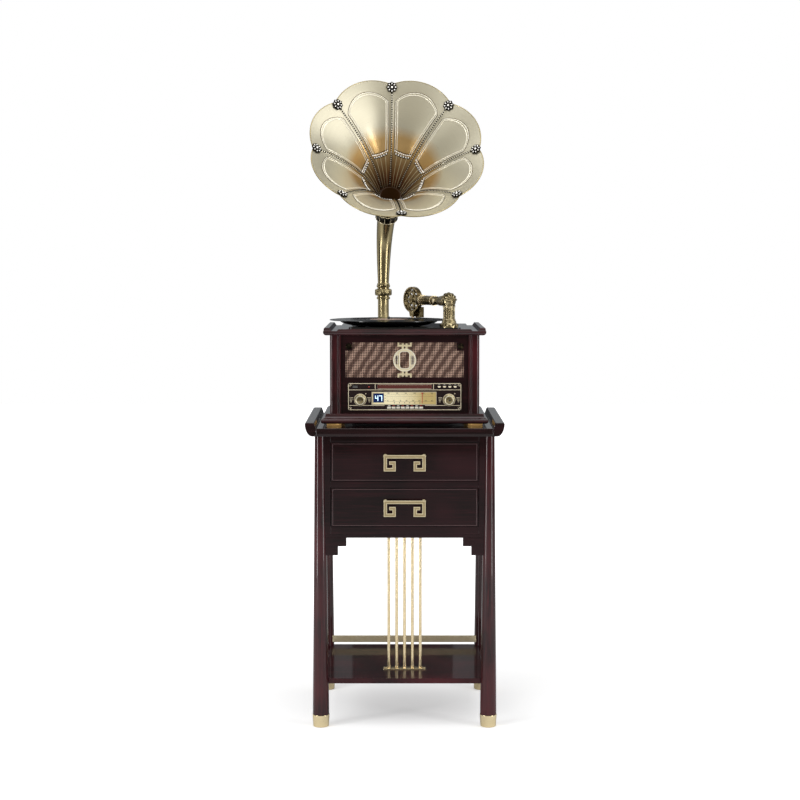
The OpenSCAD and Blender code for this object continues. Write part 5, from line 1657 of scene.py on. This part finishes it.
@dataclass(frozen=True)
class BellForm:
    """Shape of the bell: a flare cut in petals, its wall bowed between the seams.

    Depth runs from the mouth's notches (0) down to the throat; turn is in degrees round the bell's
    axis, with a seam at each 45 degrees; out is the distance behind the inner face.
    """

    mouth_r: float = 207.5
    petal_out: float = 15.0
    depth: float = 200.0
    throat_r: float = 28.5
    dip: float = 20.0
    wall: float = 2.4
    bow: float = 3.5
    lift: float = 8.0
    tilt: float = 54.5
    yaw: float = 6.0
    foot: Flat = (-55.6, 164.0)
    bend_z: float = 1175.0
    bend_r: float = 172.0
    neck_reach: float = 13.0
    neck_side: float = 10.0
    petals: int = 8

    @property
    def frame(self) -> Matrix:
        """Frame at the foot of the neck; the horn looks along -Y."""
        return Matrix.Translation((*self.foot, 0)) @ Matrix.Rotation(math.radians(self.yaw), 4, "Z")

    @property
    def mouth(self) -> Matrix:
        """Frame at the mouth's middle.

        Returns:
            The frame, whose Z looks out of the bell.
        """
        lean = math.radians(self.tilt)
        length = self.neck_reach + self.depth
        reach = self.bend_r * (1 - math.cos(lean)) + length * math.sin(lean)
        height = self.bend_z + self.bend_r * math.sin(lean) + length * math.cos(lean)
        return self.frame @ Matrix.Translation((self.neck_side, -reach, height)) @ Matrix.Rotation(lean, 4, "X")

    @property
    def length(self) -> float:
        """Depth over which the flare narrows to its share 1 / e."""
        return self.depth / math.log((self.mouth_r + self.dip) / (self.throat_r + self.dip))

    def flare(self, depth: float) -> float:
        """Radius of the wall at a depth, at the seams."""
        return (self.mouth_r + self.dip) * math.exp(-depth / self.length) - self.dip

    def slope(self, depth: float) -> float:
        """Lean of the wall's normal from the plane of the mouth, in radians."""
        return math.atan((self.mouth_r + self.dip) * math.exp(-depth / self.length) / self.length)

    def middle(self, petal: int) -> float:
        """Turn of a petal's middle."""
        return (petal + 0.5) * 360 / self.petals

    def on_wall(self, depth: float, turn: float, out: float = 0.0, crease: float = 0.0) -> Vector:
        """Point of the wall in the part's frame; see point."""
        return self.mouth @ self.point(depth, turn, out, crease)

    def point(self, depth: float, turn: float, out: float = 0.0, crease: float = 0.0) -> Vector:
        """Point of the wall in the mouth's frame.

        Args:
            depth: Depth of the point.
            turn: Its turn in degrees.
            out: Distance behind the inner face.
            crease: Distance by which it is drawn in towards the axis.

        Returns:
            The point.
        """
        step = 360 / self.petals
        f = math.radians((turn % step) - step / 2)
        half = math.radians(step / 2)
        tip = self.mouth_r + self.petal_out
        centre = (tip ** 2 - self.mouth_r ** 2) / (2 * (tip - self.mouth_r * math.cos(half)))
        reach = centre * math.cos(f) + math.sqrt((tip - centre) ** 2 - (centre * math.sin(f)) ** 2)
        fade = max(0.0, 1 - depth / 62) ** 2
        lean = self.slope(depth)
        r = self.flare(depth) + (reach - self.mouth_r) * fade + out * math.cos(lean) - crease
        r += self.bow * math.sin(math.pi * depth / self.depth) * math.cos(math.pi / 2 * f / half)
        rise = self.lift * fade * (reach - self.mouth_r) / self.petal_out
        return Vector((r * math.cos(math.radians(turn)), r * math.sin(math.radians(turn)),
                       rise - depth - out * math.sin(lean)))

    def from_seam(self, depth: float, distance: float) -> float:
        """Degrees away from a seam that a distance in millimetres makes at a depth."""
        return math.degrees(math.asin(min(0.9, distance / self.flare(depth))))


@dataclass
class Horn(Assembly):
    """The horn: brushed petal bell with beads, rope seams, lace and rosettes, its neck, collar and socket."""

    form: BellForm = field(default_factory=BellForm)
    columns: int = 288
    neck_r: float = 14.6
    neck_foot: float = 1099.1
    socket_top: float = 1093.8
    neck_wall: float = 2.5
    collar_angle: float = 37.5
    collar_lobes: int = 12

    def build(self) -> None:
        """Builds the horn's pieces."""
        self.dress("horn_socket", NECK_BRASS, 0.0, sharp=40)
        self.bell()
        self.neck()
        self.collar()
        self.petal_beads()
        self.seams()
        self.lace()
        self.rosettes()

    def bell(self) -> None:
        """The bell's wall, fine enough for its curves, with depth, seam and UV for its finish."""
        form, cols = self.form, self.columns
        step = 360 / form.petals
        points, depths, seams, arcs = [], [], [], []
        inner = [form.depth * (i / 110) ** 1.25 for i in range(111)]
        outer = [form.depth * (i / 56) ** 1.25 for i in range(57)]
        for rows, out in ((inner, 0.0), (outer, form.wall)):
            arc, last = 0.0, None
            for d in rows:
                rise, fall = (min(1, max(0, share)) for share in ((d - 10) / 14, (form.depth - 10 - d) / 30))
                ridge = 1.6 * rise * fall if out == 0 else 0.0
                here = form.point(d, 0.0, out)
                arc += (here - last).length if last else 0.0
                last = here
                for c in range(cols):
                    turn = 360 * c / cols
                    away = min(turn % step, step - turn % step)
                    gap = form.flare(d) * math.radians(away)
                    crest = math.exp(-(gap / 2.4) ** 2)
                    points.append(form.on_wall(d, turn, out, ridge * crest))
                    depths.append(d / form.depth if out == 0 else 0.0)
                    seams.append(0.75 * crest if ridge > 0 and gap > 0 else 0.0)
                    arcs.append(arc)
        mesh = bpy.data.meshes.new("bell")
        mesh.from_pydata([p * MM for p in points], [], shell_faces(len(inner), len(outer), cols))
        work = bmesh.new()
        work.from_mesh(mesh)
        bmesh.ops.recalc_face_normals(work, faces=work.faces)
        work.to_mesh(mesh)
        work.free()
        for label, values in (("depth", depths), ("seam", seams)):
            mesh.attributes.new(label, "FLOAT", "POINT").data.foreach_set("value", values)
        layer = mesh.uv_layers.new(name="horn")
        flat: list[float] = []
        for face in mesh.polygons:
            ring = [v % cols for v in face.vertices]
            wraps = max(ring) - min(ring) > cols / 2
            for v, c in zip(face.vertices, ring):
                flat += [(c + cols if wraps and c < cols / 2 else c) / cols * 0.63, arcs[v] * MM]
        layer.uv.foreach_set("vector", flat)
        piece = self.keep("horn_bell_petals", mesh, [HORN_BRASS], "horn", 50)
        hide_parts("horn_bell")
        rim = [form.on_wall(0.4, 360 * i / 576, form.wall / 2) for i in range(576)]
        self.make("horn_rim_roll", Shape().add(tube(rim, 1.5, 10, True)), NECK_BRASS, "horn", ROUND)

    def grow(self, run: float) -> tuple[float, float]:
        """Radius of the neck and its way to the side.

        Args:
            run: Run along the neck from its foot.

        Returns:
            The radius and the way to the side.
        """
        form = self.form
        length = form.bend_z - self.neck_foot + form.bend_r * math.radians(form.tilt) + form.neck_reach
        share = min(1.0, run / length)
        return self.neck_r + (form.throat_r - 0.4 - self.neck_r) * share ** 1.05, form.neck_side * share ** 1.85

    def station(self, angle: float) -> tuple[Vector, float, float]:
        """Station of the neck in the horn's frame.

        Args:
            angle: Angle of its bend in degrees.

        Returns:
            Its middle, its lean in radians and its radius.
        """
        form = self.form
        lean = math.radians(angle)
        radius, side = self.grow(form.bend_z - self.neck_foot + form.bend_r * lean)
        return (Vector((side, -form.bend_r * (1 - math.cos(lean)), form.bend_z + form.bend_r * math.sin(lean))),
                lean, radius)

    def neck(self) -> None:
        """The bent neck as one smooth shell, and its foot that turns in the socket."""
        form, sides = self.form, 64
        stations = []
        for i in range(9):
            z = self.neck_foot + (form.bend_z - self.neck_foot) * i / 9
            radius, side = self.grow(z - self.neck_foot)
            stations.append((Vector((side, 0, z)), 0.0, radius))
        stations += [self.station(form.tilt * i / 40) for i in range(41)]
        end, lean, _ = stations[-1]
        for lap in (0.0, 8.0):
            further = Vector((0, -math.sin(lean), math.cos(lean))) * (form.neck_reach + lap)
            stations.append((Vector((form.neck_side, end.y, end.z)) + further, lean, form.throat_r - 0.4))
        points = []
        for inset in (0.0, self.neck_wall):
            for middle, lean, radius in stations:
                for k in range(sides):
                    a = math.tau * k / sides
                    x, y = (radius - inset) * math.cos(a), -(radius - inset) * math.sin(a)
                    points.append(middle + Vector((x, y * math.cos(lean), y * math.sin(lean))))
        count = len(stations)
        faces = shell_faces(count, count, sides)
        shape = Shape().add((points, faces), form.frame)
        outside = (count - 1) * sides
        # The inner faces take the throat's painted shade and painted glow.
        shape.marks = [0 if i < outside - sides else 1 for i in range(len(faces))]
        foot = [(9.0, 1062.5), (11.0, 1062.5), (11.0, self.socket_top + 0.3), (15.6, self.socket_top + 0.3),
                (16.6, self.socket_top + 1.0), (16.6, self.neck_foot - 2.4), (15.4, self.neck_foot - 0.1),
                (9.0, self.neck_foot - 0.1)]
        shape.add(lathe(foot, 64, closed=True), form.frame)
        piece = self.make("horn_neck_tube", shape, [NECK_BRASS, THROAT_SHADE_GLOW], "horn", 40)
        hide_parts("horn_neck")

    def collar(self) -> None:
        """Dark scalloped collar under the bell, bright on its edges."""
        middle, lean, radius = self.station(self.collar_angle)
        place = self.form.frame @ Matrix.Translation(middle) @ Matrix.Rotation(lean, 4, "X")
        clear, sides, lobes = radius + 0.5, 192, self.collar_lobes
        section = [(clear, -13), (clear + 2.6, -13), (clear + 4.5, -10), (27.4, -5), (29.8, 1), (31.0, 6), (31.4, 10.5),
                   (29.6, 11.6), (27.6, 7), (clear, 0)]
        points, edge = [], []
        for i, (r, z) in enumerate(section):
            for k in range(sides):
                a = math.tau * k / sides
                lobe = abs(math.sin(a * lobes / 2))
                share = 1.0 if i in (6, 7) else 0.55 if i in (5, 8) else 0.2 if i == 4 else 0.0
                x = r - share * 2.2 * (1 - lobe) ** 2
                h = z - share * 4.0 * (1 - lobe) ** 1.5
                points.append((x * math.cos(a), x * math.sin(a), h))
                if i == 6:
                    edge.append(Vector(points[-1]) + Vector((0.4 * math.cos(a), 0.4 * math.sin(a), 0.5)))
        shape = Shape().add((points, grid_faces(len(section), sides, True, True)), place)
        self.make("horn_collar", shape, BLACKENED, "horn", 45)
        bright = Shape().add(tube(edge, 0.75, 8, True), place)
        for turn in range(lobes):
            a = math.tau * (turn + 0.5) / lobes
            vein = [Vector(((r + 0.5) * math.cos(a), (r + 0.5) * math.sin(a), z)) for r, z in section[2:6]]
            bright.add(tube(vein, 0.5, 6), place)
        bright.add(hoop(clear + 2.8, -12.2, 0.9, 64), place)
        self.make("horn_collar_edges", bright, ROD_BRASS, "horn", ROUND)

    def outline(self, middle: float, inset: float) -> list[tuple[float, float]]:
        """Depth and turn of each point of a petal's bead line, from one foot over the arch to the other.

        Args:
            middle: Turn of the petal's middle.
            inset: How much further in from the petal's edges the line lies, in millimetres.

        Returns:
            Depth and turn of each point.
        """
        half = 180 / self.form.petals
        side = []
        for i in range(25):
            d = 111.0 - (111.0 - 25.0) * i / 24
            side.append((d, half - self.form.from_seam(d, 9.0 + 1.0 * ((111.0 - d) / 86) + inset)))
        d0, f0 = side[-1]
        top = 12.5 + inset * 0.5
        arch = []
        for i in range(1, 24):
            f = f0 * math.sin((1 - i / 24) * math.pi / 2)
            level = 1 - (f / f0) ** 2
            arch.append((d0 - (d0 - top) * (0.45 * level ** 0.5 + 0.55 * level), f))
        run = side + arch
        return [(d, middle - f) for d, f in run] + [(top, middle)] + [(d, middle + f) for d, f in reversed(run)]

    def petal_beads(self) -> None:
        """Double raised bead line on every petal, with a dark line just outside it as painted shade of a groove."""
        form = self.form
        light, dark = Shape(), Shape()
        for p in range(form.petals):
            for shape, inset, radius in ((dark, -1.7, 0.7), (light, 0.0, 1.0), (light, 5.0, 1.1)):
                path = [form.on_wall(d, turn, -0.15) for d, turn in self.outline(form.middle(p), inset)]
                shape.add(tube(path, radius, 8))
        self.make("petal_beads", light, BEAD_BRASS, "horn", ROUND)
        # The dark line is painted groove shade beside the beads.
        self.make("petal_groove_shade", dark, ROPE_BRASS, "horn", ROUND)

    def seams(self) -> None:
        """Rope of small balls along every seam and light lines down the throat."""
        form = self.form
        ropes = [[form.on_wall(12 + 176 * i / 60, p * 360 / form.petals, -1.9) for i in range(61)]
                 for p in range(form.petals)]
        mesh = grown(beads_on_lines, lines_mesh(ropes), BLACKENED, Pitch=0.0058, Bead_Radius=0.0020, Uneven=0.12)
        self.keep("seam_dots", mesh, [BLACKENED], "horn", ROUND)
        ridges = Shape()
        for p in range(form.petals):
            path = [form.on_wall(10 + 180 * i / 60, p * 360 / form.petals, -1.0) for i in range(61)]
            ridges.add(tube(path, 1.3, 8))
        self.make("seam_ridges", ridges, BEAD_BRASS, "horn", ROUND)
        lines = Shape()
        for p in range(form.petals):
            for away in (-10.5, 0.0, 10.5):
                reach = 203 if away == 0 else 196
                path = [form.on_wall(117 + (reach - 117) * i / 20, form.middle(p) + away, -0.2) for i in range(21)]
                lines.add(tube(path, lambda share: 0.9 - 0.3 * share, 6))
        self.make("throat_lines", lines, CHAMPAGNE, "horn", ROUND)

    def lace(self) -> None:
        """Chased lace collar: in each petal an arc of balls, scallops and drops between the bead lines."""
        form = self.form
        balls: list[list[Vector]] = []
        wire, dark = Shape(), Shape()
        for p in range(form.petals):
            middle = form.middle(p)
            half = 180 / form.petals - form.from_seam(112, 9.0)

            def sag(share: float, deep: float) -> Vector:
                """Point of an arc across the petal, share from -1 to 1, hung towards the throat."""
                return form.on_wall(deep + 5.0 * (1 - share * share), middle + half * share, -0.6)
            balls.append([sag(-1 + i / 12, 108.5) for i in range(25)])
            dark.add(tube([sag(-1 + i / 12, 105.8) for i in range(25)], 0.8, 6))
            for k in range(6):
                left, right = -1 + 2 * k / 6, -1 + 2 * (k + 1) / 6
                loop = []
                for i in range(11):
                    t = i / 10
                    share = left + (right - left) * t
                    loop.append(form.on_wall(112.0 + 5.0 * (1 - share * share) + 4.6 * math.sin(math.pi * t),
                                             middle + half * share, -0.5))
                dark.add(tube(loop, 0.9, 6))
                centre = (left + right) / 2
                drop = form.on_wall(113.6 + 5.0 * (1 - centre * centre), middle + half * centre, -0.5)
                wire.add(ball(2.0, 1.0, 6, 8), Matrix.Translation(drop))
        self.make("throat_lace", wire, SILVER_GLOWING, "horn", ROUND)
        self.make("throat_lace_wires", dark, BLACKENED, "horn", ROUND)
        mesh = grown(beads_on_lines, lines_mesh(balls), SILVER_GLOWING, Pitch=0.0048, Bead_Radius=0.0021, Uneven=0.35)
        self.keep("throat_lace_balls", mesh, [SILVER_GLOWING], "horn", ROUND)

    def rosettes(self) -> None:
        """Carved rosettes where the petals meet: blackened base, silver petals and a silver ball."""
        form = self.form
        depth = 4.0
        base, silver = Shape(), Shape()
        lean = math.pi / 2 - form.slope(depth)
        plate = lathe([(8.6, 0), (10.6, 0.3), (11.0, 1.6), (9.8, 2.6), (5.0, 2.2), (0, 2.2)], 32)
        for i in range(form.petals):
            place = (form.mouth @ Matrix.Rotation(math.radians(i * 360 / form.petals), 4, "Z")
                     @ Matrix.Translation((form.flare(depth), 0, -depth)) @ Matrix.Rotation(-lean, 4, "Y")
                     @ Matrix.Translation((0, 0, 0.9)) @ Matrix.Scale(1.16, 4))
            base.add(plate, place)
            for k in range(8):
                turn = place @ Matrix.Rotation(math.tau * k / 8, 4, "Z")
                for shape, middle, size in ((base, (9.4, 0, 1.6), (3.0, 3.0, 1.7, 1)),
                                            (silver, (8.0, 0, 3.0), (2.1, 1.3, 1.1, 1))):
                    shape.add(ball(1.0, 1.0, 6, 10), turn @ Matrix.Translation(middle) @ Matrix.Diagonal(size))
                vein = [Vector((r, 0, 3.7)) for r in (4.0, 7.0, 10.6)]
                base.add(tube(vein, 0.35, 6), turn @ Matrix.Rotation(math.tau / 16, 4, "Z"))
            base.add(lathe([(3.9, 2.0), (3.9, 3.4), (2.4, 3.8)], 24), place)
            silver.add(lathe([(2.4, 3.2), (2.2, 4.6), (1.4, 5.6), (0, 6.0)], 24), place)
        piece = self.make("rosette_plates", base, BLACKENED, "horn", 50)
        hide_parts("horn_rosettes")
        self.make("rosette_petals", silver, SILVER_GLOWING, "horn", ROUND)


@dataclass
class Studio:
    """White photo studio: camera at the photo's place, soft lights, and dark cards for the gloss to reflect."""

    camera_place: Point = (-0.01153, -4.4, 1.1757)
    camera_tilt: float = 85.143
    lens: float = 77.3

    def build(self) -> None:
        """Sets up camera, world, floor, lights and cards."""
        data = bpy.data.cameras.new("photo_camera")
        data.lens, data.sensor_width = self.lens, 36.0
        data.clip_start, data.clip_end = 0.1, 60.0
        camera = bpy.data.objects.new("photo_camera", data)
        camera.location = self.camera_place
        camera.rotation_euler = (math.radians(self.camera_tilt), 0.0, 0.0)
        bpy.context.scene.collection.objects.link(camera)
        bpy.context.scene.camera = camera
        bpy.context.scene.view_settings.view_transform = "Standard"
        self.world()
        self.floor()
        for name, place, aim, size, power in (
            ("key_left", (-2.6, -2.4, 2.9), (-0.1, 0.0, 1.2), (1.9, 2.6), 50.0),
            ("fill_right", (2.9, -1.6, 1.9), (0.0, 0.0, 1.0), (1.6, 2.8), 17.0),
            ("top", (0.1, -0.4, 3.6), (0.0, 0.0, 1.2), (2.2, 1.6), 27.0),
            ("strip_left", (-2.1, -1.5, 0.6), (0.0, 0.0, 0.7), (0.3, 1.4), 18.0),
            ("strip_right", (2.1, -1.5, 0.6), (0.0, 0.0, 0.7), (0.3, 1.4), 14.0),
        ):
            self.soft_box(name, place, aim, size, power)
        bpy.data.objects["key_left"].visible_glossy = False
        for name, place, aim, size, grey in (
            ("card_front_low", (0.0, -6.0, 0.2), (0.0, 0.0, 0.2), (9.0, 1.4), "#5c5852"),
            ("card_front_high", (0.0, -6.0, 2.6), (0.0, 0.0, 2.6), (9.0, 3.4), "#a6a298"),
            ("card_left", (-3.9, -1.2, 1.2), (0.0, 0.0, 1.0), (3.6, 2.6), "#3a3736"),
            ("card_right", (3.9, -0.8, 1.2), (0.0, 0.0, 1.0), (3.6, 2.6), "#3a3736"),
            ("card_back_left", (-2.22, 3.0, 1.2), (-2.22, 0.0, 1.2), (4.0, 2.4), "#8b8e90"),
            ("card_back_right", (2.22, 3.0, 1.2), (2.22, 0.0, 1.2), (4.0, 2.4), "#8b8e90"),
            ("card_above", (0.0, 1.4, 3.7), (0.0, 0.0, 1.4), (7.0, 3.0), "#868480"),
            ("card_left_high", (-2.7, -1.2, 3.1), (0.0, -0.1, 1.4), (2.6, 2.2), "#98968f"),
            ("card_back_middle", (0.0, 3.0, 1.2), (0.0, 0.0, 1.2), (0.44, 2.4), "#3c3d3f"),
        ):
            self.card(name, place, aim, size, grey)
        for step, share in enumerate((0.1, 0.45, 0.8)):
            place = (2.45 - 1.0 * share, -0.4 - 2.2 * share, 3.05 - 1.5 * share)
            self.card(f"card_window_{step + 1}", place, (0.0, -0.1, 1.4), (1.0, 1.2), "#ffffff", 2.3)

    def world(self) -> None:
        """White for what looks straight at it or mirrors it, softer for the light it gives."""
        world = bpy.data.worlds.new("studio")
        bpy.context.scene.world = world
        world.use_nodes = True
        tree = world.node_tree
        tree.nodes.clear()
        ray = add_node(tree, "ShaderNodeLightPath").outputs
        seen = add_node(tree, "ShaderNodeMath", {0: ray["Is Camera Ray"], 1: ray["Is Glossy Ray"]}, operation="ADD")
        seen = add_node(tree, "ShaderNodeMath", {0: seen.outputs[0], 1: ray["Is Transmission Ray"]}, operation="ADD",
                        use_clamp=True)
        strength = add_node(tree, "ShaderNodeMapRange", {"Value": seen.outputs[0], "To Min": 0.55, "To Max": 1.0})
        light = add_node(tree, "ShaderNodeBackground", {"Color": linear("#ffffff"), "Strength": strength.outputs[0]})
        add_node(tree, "ShaderNodeOutputWorld", {0: light.outputs[0]})

    def floor(self) -> None:
        """White floor that keeps the shadow and fades into the white behind."""
        mesh = bpy.data.meshes.new("studio_floor")
        mesh.from_pydata([(-9, -9, 0), (9, -9, 0), (9, 9, 0), (-9, 9, 0)], [], [(0, 1, 2, 3)])
        material = bpy.data.materials.new("studio_paper_white")
        material.use_nodes = True
        tree = material.node_tree
        tree.nodes.clear()
        ray = add_node(tree, "ShaderNodeLightPath").outputs
        paper = add_node(tree, "ShaderNodeBsdfDiffuse", {"Color": linear("#e4e4e4")})
        away = add_node(tree, "ShaderNodeVectorMath", {
            0: add_node(tree, "ShaderNodeTexCoord").outputs["Object"]}, operation="LENGTH").outputs["Value"]
        fade = add_node(tree, "ShaderNodeMapRange", {
            "Value": away, "From Min": 0.5, "From Max": 1.6, "To Min": 0.42, "To Max": 1.0})
        lift = add_node(tree, "ShaderNodeMath", {0: ray["Is Camera Ray"], 1: fade.outputs[0]}, operation="MULTIPLY")
        glow = add_node(tree, "ShaderNodeEmission", {"Strength": lift.outputs[0]})
        both = add_node(tree, "ShaderNodeAddShader", {0: paper.outputs[0], 1: glow.outputs[0]})
        add_node(tree, "ShaderNodeOutputMaterial", {0: both.outputs[0]})
        mesh.materials.append(material)
        floor = bpy.data.objects.new("studio_floor", mesh)
        floor.location.z = -0.001
        bpy.context.scene.collection.objects.link(floor)

    @staticmethod
    def aimed(thing: bpy.types.Object, place: Point, aim: Point) -> None:
        """Puts a thing of the studio in place.

        Args:
            thing: The thing.
            place: Where it stands, in metres.
            aim: Point that it looks at.
        """
        thing.location = place
        thing.rotation_euler = (Vector(aim) - Vector(place)).to_track_quat("-Z", "Y").to_euler()
        bpy.context.scene.collection.objects.link(thing)

    def soft_box(self, name: str, place: Point, aim: Point, size: Flat, power: float) -> None:
        """Adds a soft box.

        Args:
            name: Its name.
            place: Where it stands, in metres.
            aim: Point that it lights.
            size: Its width and height.
            power: Its power in watts.
        """
        light = bpy.data.lights.new(name, "AREA")
        light.shape = "RECTANGLE"
        light.size, light.size_y = size
        light.energy = power
        self.aimed(bpy.data.objects.new(name, light), place, aim)

    def card(self, name: str, place: Point, aim: Point, size: Flat, grey: str, strength: float = 1.0) -> None:
        """Adds a card that only reflections see.

        Args:
            name: Its name.
            place: Where it stands, in metres.
            aim: Point that it faces.
            size: Its width and height.
            grey: sRGB hex colour of its light.
            strength: Strength of its light.
        """
        mesh = bpy.data.meshes.new(name)
        x, y = size[0] / 2, size[1] / 2
        mesh.from_pydata([(-x, -y, 0), (x, -y, 0), (x, y, 0), (-x, y, 0)], [], [(0, 1, 2, 3)])
        material = bpy.data.materials.new(f"{name}_grey")
        material.use_nodes = True
        tree = material.node_tree
        tree.nodes.clear()
        glow = add_node(tree, "ShaderNodeEmission", {"Color": linear(grey), "Strength": strength})
        add_node(tree, "ShaderNodeOutputMaterial", {0: glow.outputs[0]})
        mesh.materials.append(material)
        panel = bpy.data.objects.new(name, mesh)
        self.aimed(panel, place, aim)
        panel.visible_camera = panel.visible_diffuse = panel.visible_shadow = False


def main() -> None:
    """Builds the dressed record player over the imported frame, in its studio."""
    logging.basicConfig(level=logging.INFO, format="%(name)s: %(message)s")
    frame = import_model()
    bodies = {node: obj["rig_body"] for node, obj in frame["nodes"].items()}
    assemblies: list[Assembly] = [
        kind(bodies) for kind in (Stand, Drawers, PlayerCase, RadioFront, Deck, Tonearm, Horn)]
    for assembly in assemblies:
        assembly.build()
        assembly.report()
    Studio().build()


if __name__ == "__main__":
    main()
